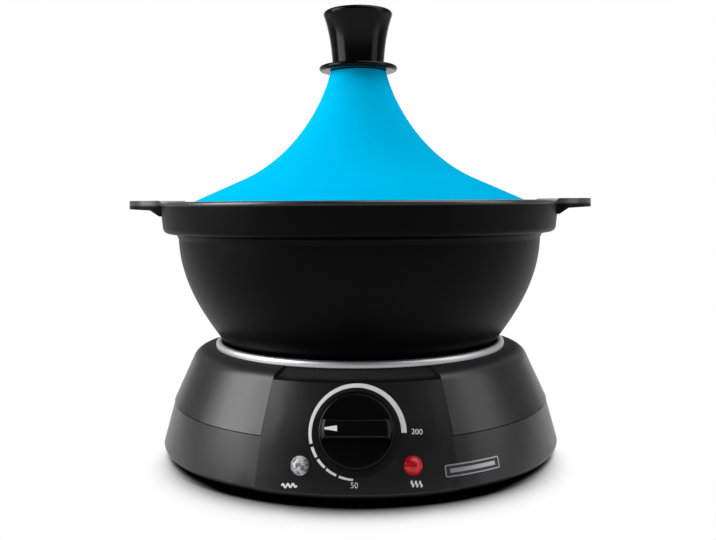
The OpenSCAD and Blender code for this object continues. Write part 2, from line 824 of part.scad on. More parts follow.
module heating_element() {
    leg_h = z_hot_low - element_leg_bottom - 2 * hole_gap;
    color("#5c5a56") {
        rotate([0, 0, 90 + element_end_angle])
            rotate_extrude(angle = 360 - 2 * element_end_angle)
                translate([element_r, element_z]) circle(d = element_d);
        ring_of(element_ends, element_r) {
            translate([0, 0, element_leg_bottom]) cylinder(d = element_leg_d, h = leg_h);
            translate([0, 0, element_leg_bottom - element_pin_len])
                cylinder(d = element_pin_d, h = element_pin_len + 1);
        }
    }
}

module element_bushes() {
    bore = element_leg_d + 2 * hole_gap;
    color("#efe9dc")
        ring_of(element_ends, element_r)
            difference() {
                union() {
                    translate([0, 0, z_dish]) cylinder(r = bush_flange_r, h = bush_h);
                    translate([0, 0, z_dish_low - bush_h]) cylinder(r = bush_r, h = 2 * bush_h + dish_t);
                }
                translate([0, 0, z_dish_low - bush_h - 1]) cylinder(d = bore, h = 2 * bush_h + dish_t + 2);
            }
}

module tie_bolt() {
    low_z = z_base + tie_sink;
    color("#9a9a9a") translate([0, 0, low_z]) cylinder(d = tie_d, h = z_dish + tie_reach - low_z);
}

module tie_nut() {
    color("#9a9a9a")
        translate([0, 0, z_nut - nut_h])
            difference() {
                cylinder(d = nut_across, h = nut_h, $fn = 6);
                translate([0, 0, -1]) cylinder(d = tie_d + 2 * shaft_gap, h = nut_h + 2);
            }
}

module sensor_bulb() {
    inlet = from_dial(capillary_in);
    color("#b87333") {
        translate([-sensor_len / 2, sensor_y, sensor_z])
            rotate([0, 90, 0]) cylinder(d = sensor_d, h = sensor_len);
        routed_tube(concat(
            [
                [capillary_d / 2 - sensor_len / 2, sensor_y, sensor_z],
                [-sensor_len / 2 - lead_out, sensor_y, sensor_z]
            ],
            capillary_route,
            [inlet - [2 * lead_out, -lead_turn, 0], inlet - [lead_out, 0, 0], inlet]
        ), capillary_d);
    }
}

// A bent clip that holds a round body of diameter d under a face at height top_z
module under_clip(d, axis_z, top_z) {
    bore = d + 2 * shaft_gap;
    h = d + clip_extra_h;
    w = d + clip_extra_w;
    difference() {
        translate([-clip_len / 2, -w / 2, top_z - h]) cube([clip_len, w, h]);
        translate([-clip_len, 0, axis_z]) rotate([0, 90, 0]) cylinder(d = bore, h = 2 * clip_len);
        translate([-clip_len, -bore / 2, axis_z]) cube([2 * clip_len, bore, d]);
    }
}

module bulb_clips() {
    color("#b5b5b0")
        for (x = [-clip_x, clip_x])
            translate([x, sensor_y, 0]) under_clip(sensor_d, sensor_z, z_hot_low);
}

module thermal_fuse() {
    color("#d9d4c4")
        translate([fuse_at.x - fuse_len / 2, fuse_at.y, fuse_z])
            rotate([0, 90, 0]) cylinder(d = fuse_d, h = fuse_len);
}

module fuse_clip() {
    color("#b5b5b0") translate([fuse_at.x, fuse_at.y, 0]) under_clip(fuse_d, fuse_z, z_dish_low);
}

module thermostat() {
    flange_back = seat_back - thermostat_flange_t;
    tab_back = thermostat_back - tab_size.z;
    color("#d6d0c0")
        at_dial()
            difference() {
                union() {
                    translate([-thermostat_w / 2, -thermostat_flange_h / 2, flange_back])
                        cube([thermostat_w, thermostat_flange_h, thermostat_flange_t]);
                    translate([-thermostat_w / 2, -thermostat_h / 2, thermostat_back])
                        cube([thermostat_w, thermostat_h, thermostat_depth]);
                    translate([0, 0, seat_back - 1]) cylinder(d = bush_neck_d, h = dial_seat_wall + 0.6);
                    for (side = [-1, 1])
                        translate([side * tab_x - tab_size.x / 2, -tab_size.y / 2, tab_back])
                            cube([tab_size.x, tab_size.y, tab_size.z + 1]);
                }
                translate([0, 0, shaft_inner_z - 0.2]) cylinder(d = shaft_d + 2 * shaft_gap, h = 60);
                for (side = [-1, 1])
                    translate([side * thermostat_screw_gap / 2, 0, thermostat_screw_end - 0.5])
                        cylinder(d = thermostat_screw_d + 2 * hole_gap, h = thermostat_screw_reach + 4);
            }
}

module thermostat_screws() {
    color("#9a9a9a")
        at_dial()
            for (side = [-1, 1])
                translate([side * thermostat_screw_gap / 2, 0, 0]) {
                    translate([0, 0, thermostat_screw_z])
                        difference() {
                            cylinder(d = thermostat_screw_head_d, h = thermostat_screw_head_h);
                            translate([-2, -0.4, 0.7]) cube([4, 0.8, 2]);
                        }
                    translate([0, 0, thermostat_screw_end])
                        cylinder(d = thermostat_screw_d, h = thermostat_screw_z - thermostat_screw_end + 0.2);
                }
}

module thermostat_shaft() {
    color("#c8c8c8")
        at_dial()
            difference() {
                translate([0, 0, shaft_inner_z]) cylinder(d = shaft_d, h = shaft_outer_z - shaft_inner_z);
                translate([-shaft_d, shaft_flat, dial_base - 0.2]) cube([2 * shaft_d, shaft_d, 20]);
            }
}

module dial_grip() {
    top_z = dial_base + dial_full_h;
    edge = 1.6;
    half = grip_w / 2;
    draft = 1;
    intersection() {
        rotate_extrude()
            polygon(concat(
                [[0, dial_face_z - 1], [dial_d / 2 - 1.6, dial_face_z - 1]],
                arc_points([dial_d / 2 - 6, top_z - 4], 4, 0, 90, 8),
                [[0, top_z + 0.3]]
            ));
        rotate([90, 0, 90])
            translate([0, 0, -dial_d])
                linear_extrude(2 * dial_d)
                    polygon(concat(
                        [[-half - draft, dial_face_z - 1], [half + draft, dial_face_z - 1]],
                        arc_points([half - edge, top_z - edge], edge, 10, 90, 6),
                        arc_points([edge - half, top_z - edge], edge, 90, 170, 6)
                    ));
    }
}

module control_knob() {
    hub_d = shaft_d + 5;
    color("#141414")
        at_dial()
            difference() {
                union() {
                    rotate_extrude()
                        polygon(concat(
                            [[0, dial_base], [dial_d / 2, dial_base]],
                            arc_points([dial_d / 2 - 1.6, dial_face_z - 1.2], 1.2, 10, 90, 6),
                            [[dial_d / 2 - 4.5, dial_face_z - 0.8], [0, dial_face_z - 0.8]]
                        ));
                    dial_grip();
                }
                difference() {
                    translate([0, 0, dial_base - 1])
                        cylinder(d = dial_d - 2 * dial_wall, h = dial_skirt_h - dial_wall + 0.2);
                    translate([0, 0, dial_base - 2]) cylinder(d = hub_d, h = dial_skirt_h + 2);
                }
                difference() {
                    translate([0, 0, dial_base - 1])
                        cylinder(d = shaft_d + 2 * shaft_gap, h = shaft_outer_z - dial_base + 1.2);
                    translate([-shaft_d, shaft_flat + shaft_gap, dial_base - 2])
                        cube([2 * shaft_d, shaft_d, 20]);
                }
            }
}

// A pilot light's lens: a dome on a thin flange, with a hollow cup through the panel
module lens() {
    dome_foot_r = lens_d / 2 - 0.4;
    dome_r = (pow(dome_foot_r, 2) + pow(lens_dome, 2)) / (2 * lens_dome);
    dome_edge = asin(dome_foot_r / dome_r);
    dome_z = lens_flange_t - lens_sink;
    dome_centre = [0, dome_z + lens_dome - dome_r];
    cup_r = lens_cup_d / 2;
    cup_in_r = cup_r - lens_wall;
    rotate_extrude()
        polygon(concat(
            [
                [cup_in_r, -lens_cup_len], [cup_r, -lens_cup_len], [cup_r, -lens_sink],
                [lens_d / 2, -lens_sink], [lens_d / 2, dome_z]
            ],
            arc_points(dome_centre, dome_r, 90 - dome_edge, 90, 10),
            arc_points(dome_centre, dome_r - lens_wall - 0.4, 90, 90 - dome_edge * 0.6, 6),
            [[cup_in_r, -lens_sink - 0.5]]
        ));
}

module power_lens() {
    color("#e6e6e6") at_lamp(-1) lens();
}

module heat_lens() {
    color("#e0182c") at_lamp(1) lens();
}

module lamp_bulbs() {
    color("#f2d8b0")
        for (side = [-1, 1])
            at_lamp(side)
                translate([0, 0, -bulb_sink - bulb_len])
                    rotate_extrude()
                        polygon(concat(
                            [[0, 0], [bulb_d / 2, 0]],
                            arc_points([0, bulb_len - bulb_d / 2], bulb_d / 2, 0, 90, 8)
                        ));
}

module lamp_nuts() {
    color("#2a2a2a")
        for (side = [-1, 1])
            at_lamp(side)
                translate([0, 0, -lamp_boss_t - lamp_nut_t])
                    difference() {
                        cylinder(d = lamp_nut_d, h = lamp_nut_t, $fn = 6);
                        translate([0, 0, -1]) cylinder(d = lens_cup_d + 2 * shaft_gap, h = lamp_nut_t + 2);
                    }
}

module block_columns() {
    for (x = [-block_pitch, 0, block_pitch]) translate([x, block_y, 0]) children();
}

module terminal_block() {
    color("#e8e4d8")
        difference() {
            translate([-block_size.x / 2, block_y - block_size.y / 2, z_floor_in]) cube(block_size);
            block_columns() {
                for (y = [-block_screw_y, block_screw_y])
                    translate([0, y, block_screw_z])
                        cylinder(d = block_screw_d + 2 * hole_gap, h = block_size.z);
                translate([0, -block_size.y, block_wire_z])
                    rotate([-90, 0, 0]) cylinder(d = lead_d + 2 * fit_gap, h = 2 * block_size.y);
            }
        }
}

module terminal_screws() {
    color("#b8a060")
        block_columns()
            for (y = [-block_screw_y, block_screw_y])
                translate([0, y, block_screw_z])
                    difference() {
                        cylinder(d = block_screw_d, h = block_size.z - 10);
                        translate([-2, -0.3, block_size.z - 11]) cube([4, 0.6, 2]);
                    }
}

// The last stretch of a lead into the terminal block: straight from in front of it
function into_block(column) =
    let (front = block_y - block_size.y / 2, x = column * block_pitch)
        [for (d = [-lead_out, -lead_gap, lead_turn]) [x, front + d, block_wire_z]];

module wiring() {
    tab_end = thermostat_back - tab_size.z - lead_gap;
    pin_z = element_leg_bottom - element_pin_len - lead_gap;
    pin_a = around(element_r, element_ends[0], pin_z);
    pin_b = around(element_r, element_ends[1], pin_z);
    pin_drop = [0, 0, lead_turn];
    fuse_half = [fuse_len / 2 + lead_gap, 0, 0];
    fuse_turn = [lead_turn, 0, 0];
    fuse = [fuse_at.x, fuse_at.y, fuse_z];
    lamp_back = bulb_len + bulb_sink + lead_gap;
    case_at = [tab_x + tab_size.x, -tab_size.x, thermostat_back - lead_gap];
    color("#a03028")
        routed_tube(concat(
            [from_dial([-tab_x, 0, tab_end]), from_dial([-tab_x, 0, tab_end - lead_out])],
            live_route, into_block(-1)
        ), lead_d);
    color("#303030")
        routed_tube(concat(
            [from_dial([tab_x, 0, tab_end]), from_dial([tab_x, 0, tab_end - lead_out])],
            switched_route, [pin_a - pin_drop, pin_a]
        ), lead_d);
    color("#303030")
        routed_tube(concat(
            [pin_b, pin_b - pin_drop], fuse_route,
            [fuse - fuse_half - 2 * fuse_turn, fuse - fuse_half - fuse_turn, fuse - fuse_half]
        ), lead_d);
    color("#3050a0")
        routed_tube(concat(
            [fuse + fuse_half, fuse + fuse_half + fuse_turn], return_route, into_block(0)
        ), lead_d);
    color("#3050a0")
        routed_tube(concat(
            [behind_lamp(-1, lamp_back), behind_lamp(-1, lamp_back + lead_turn)],
            power_lamp_route, into_block(1)
        ), lead_d);
    color("#303030")
        routed_tube(concat(
            [behind_lamp(1, lamp_back), behind_lamp(1, lamp_back + lead_turn)], heat_lamp_route,
            [from_dial(case_at - [0, 0, lead_out]), from_dial(case_at)]
        ), lead_d);
}

module cord_gland() {
    bore_r = cord_bore_d / 2;
    neck_r = gland_neck_d / 2;
    color("#1c1c1c")
        translate([0, gland_inner_y, gland_z])
            rotate([-90, 0, 0])
                rotate_extrude()
                    polygon([
                        [bore_r, -gland_collar_t], [gland_flange_r - 1.2, -gland_collar_t],
                        [gland_flange_r - 0.4, 0], [neck_r, 0], [neck_r, gland_len],
                        [gland_flange_r, gland_len], [gland_flange_r, gland_len + gland_flange_t],
                        [neck_r, gland_len + gland_flange_t], [neck_r - 1.6, gland_len + gland_nose],
                        [bore_r, gland_len + gland_nose]
                    ]);
}

// Outside of the bowl, from the foot up to the rim
function bowl_outline() =
    let (
        low = [pot_foot_r + 1.5, z_hot + pot_foot_h + 1.5],
        high = [bowl_r, bowl_turn_z]
    )
        curve_points(
            low, low + bowl_low_pull * [cos(bowl_low_angle), sin(bowl_low_angle)],
            high - bowl_pull * [0.03, 1], high, 22
        );

module pot_body() {
    outside = bowl_outline();
    inside = moved_points(outside, pot_wall);
    floor_z = z_hot + pot_floor_t;
    turn = inside[1] - inside[0];
    turn_angle = atan2(turn.y, turn.x);
    floor_round = (inside[0].y - floor_z) / (1 - cos(turn_angle));
    step_z = z_ledge - pot_wall + 1;
    low_r = rim_r - rim_draft;
    rotate_extrude()
        polygon(concat(
            [
                [0, z_hot], [pot_foot_r - 2, z_hot], [pot_foot_r, z_hot + 2],
                [pot_foot_r, z_hot + pot_foot_h]
            ],
            outside,
            [[bowl_r, step_z - 5], [bowl_r + 1.5, step_z - 2]],
            arc_points([low_r - rim_round, step_z + rim_round - 1], rim_round, -70, 0, 8),
            arc_points([rim_r - 2, z_rim - 2], 2, 0, 90, 5),
            arc_points([rim_in_r + 1.5, z_rim - 1.5], 1.5, 90, 180, 5),
            [[rim_in_r, z_ledge], [bowl_r - pot_wall, z_ledge], [bowl_r - pot_wall, bowl_turn_z]],
            flipped(inside),
            flipped(arc_points(
                [inside[0].x - floor_round * sin(turn_angle), floor_z + floor_round],
                floor_round, -90, turn_angle - 90, 6
            )),
            [[0, floor_z]]
        ));
}

// The two ear handles: one turned section, cut to round outlines with a finger slot in each
module pot_ears() {
    top_z = z_rim + ear_rise;
    root_r = rim_r - 3;
    intersection() {
        rotate_extrude()
            polygon(concat(
                [
                    [root_r, top_z - ear_root_t], [rim_r + 1, top_z - ear_root_t],
                    [rim_r + 7, top_z - ear_tip_t - 0.8]
                ],
                arc_points([ear_reach - 2.4, top_z - ear_tip_t + 2.4], 2.4, -90, 0, 5),
                arc_points([ear_reach - 2.4, top_z - 2.4], 2.4, 0, 90, 5),
                [[rim_r + 1, top_z], [root_r, z_rim - 2]]
            ));
        translate([0, 0, top_z - 2 * ear_root_t])
            linear_extrude(3 * ear_root_t)
                for (side = [-1, 1])
                    difference() {
                        translate([side * (ear_reach - ear_r), 0]) circle(r = ear_r);
                        difference() {
                            translate([side * (ear_reach - ear_r), 0]) circle(r = ear_r - ear_bar);
                            circle(r = rim_r + 3);
                        }
                    }
    }
}

module pot() {
    color("#1e1e1e") {
        pot_body();
        pot_ears();
    }
}

// Outside of the cone, from the neck down to the edge of the brim
function lid_outline() =
    let (top = [neck_r, z_lid])
        concat(
            curve_points(
                top, top + neck_pull * [sin(neck_lean), -cos(neck_lean)],
                brim_start + brim_pull * [-cos(brim_slope), sin(brim_slope)], brim_start, 26
            ),
            [[lid_r - lid_edge_round, z_ledge + lid_skirt_h + lid_edge_round * tan(brim_slope)]]
        );

module lid() {
    outside = lid_outline();
    inside = [
        for (p = moved_points(outside, -lid_wall))
            if (p.y < lid_crown_low && p.x < lid_r - lid_wall) p
    ];
    color("#00b4f0")
        difference() {
            rotate_extrude()
                polygon(concat(
                    [[0, z_lid]],
                    outside,
                    [
                        [lid_r, z_ledge + lid_skirt_h - lid_edge_round], [lid_r, z_ledge + 0.8],
                        [lid_r - 0.8, z_ledge], [lid_r - lid_wall, z_ledge],
                        [lid_r - lid_wall, z_ledge + lid_skirt_h - lid_wall]
                    ],
                    flipped(inside),
                    [[inside[0].x, lid_crown_low], [0, lid_crown_low]]
                ));
            translate([0, 0, lid_crown_low - 1])
                cylinder(d = lid_screw_d + 2 * hole_gap, h = lid_crown_t + 2);
        }
}

module lid_gasket() {
    color("#303030")
        translate([0, 0, z_lid])
            difference() {
                cylinder(r = neck_r - 2, h = gasket_t);
                translate([0, 0, -1]) cylinder(d = lid_screw_d + 2 * hole_gap, h = gasket_t + 2);
            }
}

module knob_collar() {
    edge = collar_t / 2;
    color("#181818")
        difference() {
            rotate_extrude()
                polygon(concat(
                    [[0, z_collar]],
                    arc_points([collar_r - edge, z_collar + edge], edge, -90, 90, 12),
                    [[0, z_grip]]
                ));
            translate([0, 0, z_collar - 1]) cylinder(d = lid_screw_d + 2 * hole_gap, h = collar_t + 2);
        }
}

module lid_knob() {
    edge = 2.6;
    crown = 1.2;
    top_z = z_grip + grip_h;
    color("#181818")
        difference() {
            rotate_extrude()
                polygon(concat(
                    [[0, z_grip], [grip_foot_r, z_grip]],
                    curve_points(
                        [grip_foot_r, z_grip], [grip_foot_r + 0.8, z_grip + grip_h * 0.3],
                        [grip_foot_r + 2, z_grip + grip_h * 0.6], [grip_top_r, top_z - crown - edge], 14
                    ),
                    arc_points([grip_top_r - edge, top_z - crown - edge], edge, 10, 75, 6),
                    [[grip_top_r * 0.55, top_z - crown * 0.3], [0, top_z]]
                ));
            translate([0, 0, z_grip - 1]) cylinder(d = lid_screw_d + 2 * hole_gap, h = lid_screw_reach + 2);
        }
}

module lid_screw() {
    shank_z = lid_crown_low - washer_t;
    shank_len = z_grip + lid_screw_reach - shank_z;
    color("#c0c0c0")
        difference() {
            union() {
                translate([0, 0, shank_z - lid_screw_head_h])
                    cylinder(d1 = lid_screw_head_d - 2, d2 = lid_screw_head_d, h = lid_screw_head_h);
                translate([0, 0, shank_z - 1]) cylinder(d = lid_screw_d, h = shank_len + 1);
            }
            translate([-3, -0.5, shank_z - lid_screw_head_h - 1]) cube([6, 1, 2.2]);
        }
}

module lid_washer() {
    color("#c0c0c0")
        translate([0, 0, lid_crown_low - washer_t])
            difference() {
                cylinder(r = washer_r, h = washer_t);
                translate([0, 0, -1]) cylinder(d = lid_screw_d + 2 * hole_gap, h = washer_t + 2);
            }
}

feet();
base_plate();
base_screws();
lower_housing();
upper_housing();
trim_ring();
heat_shield();
heating_plate();
plate_screws();
heating_element();
element_bushes();
tie_bolt();
tie_nut();
sensor_bulb();
bulb_clips();
thermal_fuse();
fuse_clip();
thermostat();
thermostat_screws();
thermostat_shaft();
control_knob();
power_lens();
heat_lens();
lamp_bulbs();
lamp_nuts();
terminal_block();
terminal_screws();
wiring();
cord_gland();
pot();
lid();
lid_gasket();
knob_collar();
lid_knob();
lid_screw();
lid_washer();
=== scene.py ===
import json
import math

import bmesh
import bpy
from mathutils import Matrix, Vector


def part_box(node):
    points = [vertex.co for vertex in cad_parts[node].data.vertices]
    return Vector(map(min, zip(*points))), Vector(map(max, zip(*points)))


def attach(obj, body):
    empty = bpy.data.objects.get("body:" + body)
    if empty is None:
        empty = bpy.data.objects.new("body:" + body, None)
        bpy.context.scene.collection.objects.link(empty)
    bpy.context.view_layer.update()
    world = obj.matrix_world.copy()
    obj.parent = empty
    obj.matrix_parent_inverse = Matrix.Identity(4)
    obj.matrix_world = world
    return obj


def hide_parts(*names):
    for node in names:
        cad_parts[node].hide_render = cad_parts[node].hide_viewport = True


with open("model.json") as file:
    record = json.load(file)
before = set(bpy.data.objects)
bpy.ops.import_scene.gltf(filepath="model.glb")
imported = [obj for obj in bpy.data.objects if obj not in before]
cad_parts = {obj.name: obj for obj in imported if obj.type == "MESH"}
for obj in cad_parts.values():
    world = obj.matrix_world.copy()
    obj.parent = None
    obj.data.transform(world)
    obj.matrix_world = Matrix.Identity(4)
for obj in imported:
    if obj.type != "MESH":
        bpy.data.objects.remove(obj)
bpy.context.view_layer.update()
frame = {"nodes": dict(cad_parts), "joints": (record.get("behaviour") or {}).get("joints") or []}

# Camera: the photograph looks almost square at the dial from about 0.63 m, a little above the rim.
# The lens is set from how far the rims open at that distance; the small roll is the photograph's own.
IMAGE_WIDTH = 716
FOCAL_PIXELS = 850
CAMERA_REACH = 0.63
CAMERA_HEIGHT = 0.1785
camera_side = math.radians(1.1)
camera_turn = math.radians(1.208)
camera_tilt = math.radians(90 - 4.51)
camera_roll = math.radians(-0.38)
camera_data = bpy.data.cameras.new("camera")
camera_data.sensor_fit = "HORIZONTAL"
camera_data.sensor_width = 36
camera_data.lens = FOCAL_PIXELS / IMAGE_WIDTH * camera_data.sensor_width
camera = bpy.data.objects.new("camera", camera_data)
bpy.context.scene.collection.objects.link(camera)
camera_place = (CAMERA_REACH * math.sin(camera_side), -CAMERA_REACH * math.cos(camera_side), CAMERA_HEIGHT)
camera.matrix_world = (
    Matrix.Translation(camera_place)
    @ Matrix.Rotation(camera_turn, 4, "Z")
    @ Matrix.Rotation(camera_tilt, 4, "X")
    @ Matrix.Rotation(camera_roll, 4, "Z")
)
bpy.context.scene.camera = camera

# Feet: four soft rubber buttons pressed into seats round the bottom edge.
# Moulded, with a faint bloom on the rubber and dust picked up from the table.


class Line:
    """One socket of a tree; sums and products of lines and numbers add Math nodes."""

    def __init__(self, tree, socket):
        self.tree = tree
        self.socket = socket

    def maths(self, operation, first, second):
        return self.tree.node("ShaderNodeMath", {"operation": operation}, {0: first, 1: second})

    def __add__(self, other):
        return self.maths("ADD", self, other)

    def __rsub__(self, other):
        return self.maths("SUBTRACT", other, self)

    def __mul__(self, other):
        return self.maths("MULTIPLY", self, other)

    def __truediv__(self, other):
        return self.maths("DIVIDE", self, other)

    def __floordiv__(self, other):
        return self.tree.node("ShaderNodeMath", {"operation": "FLOOR"}, {0: self / other})

    def __mod__(self, other):
        return self.maths("MODULO", self, other)

    def __pow__(self, other):
        return self.maths("POWER", self, other)

    __radd__ = __add__


class Tree:
    """The nodes of one material, world or geometry tree, added one at a time."""

    def __init__(self, nodes):
        self.nodes = nodes

    def node(self, kind, settings, sockets, output=0):
        made = self.nodes.nodes.new(kind)
        for name, value in settings.items():
            setattr(made, name, value)
        for key, value in sockets.items():
            self.join(made.inputs[key], value)
        return Line(self, made.outputs[output]) if made.outputs else None

    def join(self, socket, value):
        if isinstance(value, Line):
            self.nodes.links.new(value.socket, socket)
        else:
            socket.default_value = value

    def ramp(self, value, low, high):
        """Zero below low, one above high, and smooth between."""
        settings = {"interpolation_type": "SMOOTHSTEP"}
        return self.node("ShaderNodeMapRange", settings, {"Value": value, "From Min": low, "From Max": high})

    def part(self, vector, axis):
        return self.node("ShaderNodeSeparateXYZ", {}, {0: vector}, axis)


class Finish(Tree):
    """A material on one shader: plain values go on the shader's own sockets, lines are joined to them."""

    def __init__(self, name, values):
        self.material = bpy.data.materials.new(name)
        self.material.use_nodes = True
        super().__init__(self.material.node_tree)
        self.shader = self.nodes.nodes["Principled BSDF"]
        self.place = self.node("ShaderNodeTexCoord", {}, {}, "Object")
        self.set(values)

    def set(self, values):
        for name, value in values.items():
            self.join(self.shader.inputs[name], value)

    def noise(self, scale, detail=2, stretch=None):
        place = self.place
        if stretch:
            place = self.node("ShaderNodeMapping", {}, {"Vector": place, "Scale": stretch})
        return self.node("ShaderNodeTexNoise", {}, {"Vector": place, "Scale": scale, "Detail": detail})

    def mix(self, factor, first, second):
        sockets = {0: factor, 6: first, 7: second}
        return self.node("ShaderNodeMix", {"data_type": "RGBA"}, sockets, 2)

    def vary(self, pattern, first, second, rough, spread):
        """Colour between two tints, and roughness, that follow one pattern."""
        self.set({"Base Color": self.mix(pattern, first, second), "Roughness": rough + pattern * spread})

    def bump(self, height, depth, strength=1):
        sockets = {"Height": height, "Distance": depth, "Strength": strength}
        self.set({"Normal": self.node("ShaderNodeBump", {}, sockets)})


def tint(red, green, blue):
    """A colour as it is seen on a screen, turned to the linear values that shaders use."""
    shares = [c / 255 for c in (red, green, blue)]
    return tuple(((c + 0.055) / 1.055) ** 2.4 if c > 10 / 255 else c / 12.92 for c in shares) + (1,)


def dress(finish, *names):
    for name in names:
        for slot in frame["nodes"][name].material_slots:
            slot.material = finish.material


rubber = Finish("foot_rubber", {"Specular IOR Level": 0.3})
bloom = rubber.noise(60, 4)
rubber.vary(bloom, tint(14, 14, 15), tint(30, 30, 29), 0.6, 0.25)
rubber.bump(rubber.noise(1800), 0.00004)
dress(rubber, "feet")

# Base plate and its screws: a moulded floor with cooling slots, held up by four countersunk screws.
# Plain matt polypropylene with flow marks; the screws and the tie bolt are zinc-plated steel.
plate_plastic = Finish("base_plate_plastic", {"Specular IOR Level": 0.4})
flow = plate_plastic.noise(9, 3, (1, 4, 1))
plate_plastic.vary(flow, tint(18, 18, 19), tint(27, 27, 28), 0.52, 0.12)
plate_plastic.bump(plate_plastic.noise(1500), 0.00003)
dress(plate_plastic, "base_plate")

zinc = Finish("zinc_plate", {"Metallic": 1})
spangle = zinc.noise(420, 3)
zinc.vary(spangle, tint(150, 152, 154), tint(196, 198, 200), 0.24, 0.2)
zinc.bump(spangle, 0.00002)
dress(zinc, "base_screws", "plate_screws", "tie_bolt", "tie_nut", "thermostat_screws")
dress(zinc, "lid_screw", "lid_washer")

# Housings: the lower moulding is the band with the control panel, the upper one the shoulder and wrap.
# Black flame-proof plastic with a fine spark-eroded grain; every edge of the mould is broken a little.
HOUSING_EDGE = 0.0005
SHARP_ANGLE = math.radians(32)
FLAT_ANGLE = math.radians(0.4)
WELD_DISTANCE = 1e-6
DULL_FROM = 0.122
DULL_TO = 0.112


def smooth_copy(name, node, edge):
    """A node's own shape with its triangles joined into clean faces and its edges broken."""
    mesh = frame["nodes"][node].data.copy()
    shape = bmesh.new()
    shape.from_mesh(mesh)
    bmesh.ops.remove_doubles(shape, verts=shape.verts, dist=WELD_DISTANCE)
    bmesh.ops.dissolve_limit(shape, angle_limit=FLAT_ANGLE, verts=shape.verts, edges=shape.edges)
    shape.to_mesh(mesh)
    shape.free()
    mesh.attributes.remove(mesh.attributes["custom_normal"])
    mesh.shade_smooth()
    mesh.set_sharp_from_angle(angle=SHARP_ANGLE)
    piece = bpy.data.objects.new(name, mesh)
    bpy.context.scene.collection.objects.link(piece)
    broken = piece.modifiers.new("broken_edge", "BEVEL")
    broken.width = edge
    broken.segments = 2
    broken.limit_method = "ANGLE"
    broken.angle_limit = SHARP_ANGLE
    broken.use_clamp_overlap = True
    even = piece.modifiers.new("even_shading", "WEIGHTED_NORMAL")
    even.keep_sharp = True
    return piece


def cover(piece, finish, body, slot, *nodes):
    piece.data.materials.clear()
    piece.data.materials.append(finish.material)
    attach(piece, body)
    if nodes:
        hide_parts(*nodes)


housing_plastic = Finish("housing_plastic", {"Specular IOR Level": 0.5})
cloud = housing_plastic.noise(18, 4)
housing_x = housing_plastic.part(housing_plastic.place, "X")
housing_y = housing_plastic.part(housing_plastic.place, "Y")
housing_reach = (housing_x * housing_x + housing_y * housing_y) ** 0.5
heat_dull = housing_plastic.ramp(housing_reach, DULL_FROM, DULL_TO)
housing_plastic.set({
    "Base Color": housing_plastic.mix(cloud, tint(5, 5, 5), tint(8, 8, 8)),
    "Roughness": 0.3 + cloud * 0.06 + heat_dull * 0.6,
})
housing_plastic.bump(housing_plastic.noise(2200, 3), 0.00002)
housing_band = smooth_copy("band_and_panel", "lower_housing", HOUSING_EDGE)
cover(housing_band, housing_plastic, "base", "base_black", "lower_housing")
housing_wrap = smooth_copy("shoulder_wrap", "upper_housing", HOUSING_EDGE)
cover(housing_wrap, housing_plastic, "base", "base_black", "upper_housing")

# Panel print: the scale round the dial, its two end figures and a mark under each pilot light.
# Pad-printed in white ink, so it is thin and follows the slope of the panel.
INK_LIFT = 0.00003
INK_DEPTH = 0.00008
INK_START = 0.03
INK_REACH = 0.1
FIGURE_HEIGHT = 0.0033
SIZE_PER_HEIGHT = 1.4
MARK_WIDTH = 0.0011
WAVE_STEPS = 12
SCALE_RADIUS = 0.0268
SCALE_THIN = 0.0012
SCALE_THICK = 0.0033
SCALE_END = 270
SCALE_DASHES = [(4, 22), (25.5, 40), (42.6, 56), (59, 72.5), (76.6, SCALE_END)]
dial_joint = next(joint for joint in frame["joints"] if joint["name"] == "dial_turn")
dial_centre = Vector(dial_joint["pos_m"])
dial_axis = Vector(dial_joint["axis"])
panel_right = Vector((1, 0, 0))
panel_up = dial_axis.cross(panel_right)


class Growth(Tree):
    """A geometry tree with named inputs; it turns a base mesh into a plain finished mesh."""

    def __init__(self, name, inputs):
        super().__init__(bpy.data.node_groups.new(name, "GeometryNodeTree"))
        self.keys = {}
        for label, kind in {"Base": "Geometry", **inputs, "Finish": "Material"}.items():
            socket = self.nodes.interface.new_socket(label, in_out="INPUT", socket_type="NodeSocket" + kind)
            self.keys[label] = socket.identifier
        self.nodes.interface.new_socket("Result", in_out="OUTPUT", socket_type="NodeSocketGeometry")
        self.entry = self.nodes.nodes.new("NodeGroupInput")

    def given(self, label):
        return Line(self, self.entry.outputs[label])

    def end(self, shape):
        plain = self.node("GeometryNodeRealizeInstances", {}, {0: shape})
        sockets = {"Geometry": plain, "Material": self.given("Finish")}
        coated = self.node("GeometryNodeSetMaterial", {}, sockets)
        self.node("NodeGroupOutput", {}, {0: coated})

    def make(self, name, base, finish, inputs):
        blank = bpy.data.objects.new(name + ".blank", base)
        bpy.context.scene.collection.objects.link(blank)
        growing = blank.modifiers.new("growth", "NODES")
        growing.node_group = self.nodes
        for label, value in {**inputs, "Finish": finish.material}.items():
            growing[self.keys[label]] = value
        mesh = bpy.data.meshes.new_from_object(blank.evaluated_get(bpy.context.evaluated_depsgraph_get()))
        bpy.data.objects.remove(blank)
        piece = bpy.data.objects.new(name, mesh)
        bpy.context.scene.collection.objects.link(piece)
        return piece


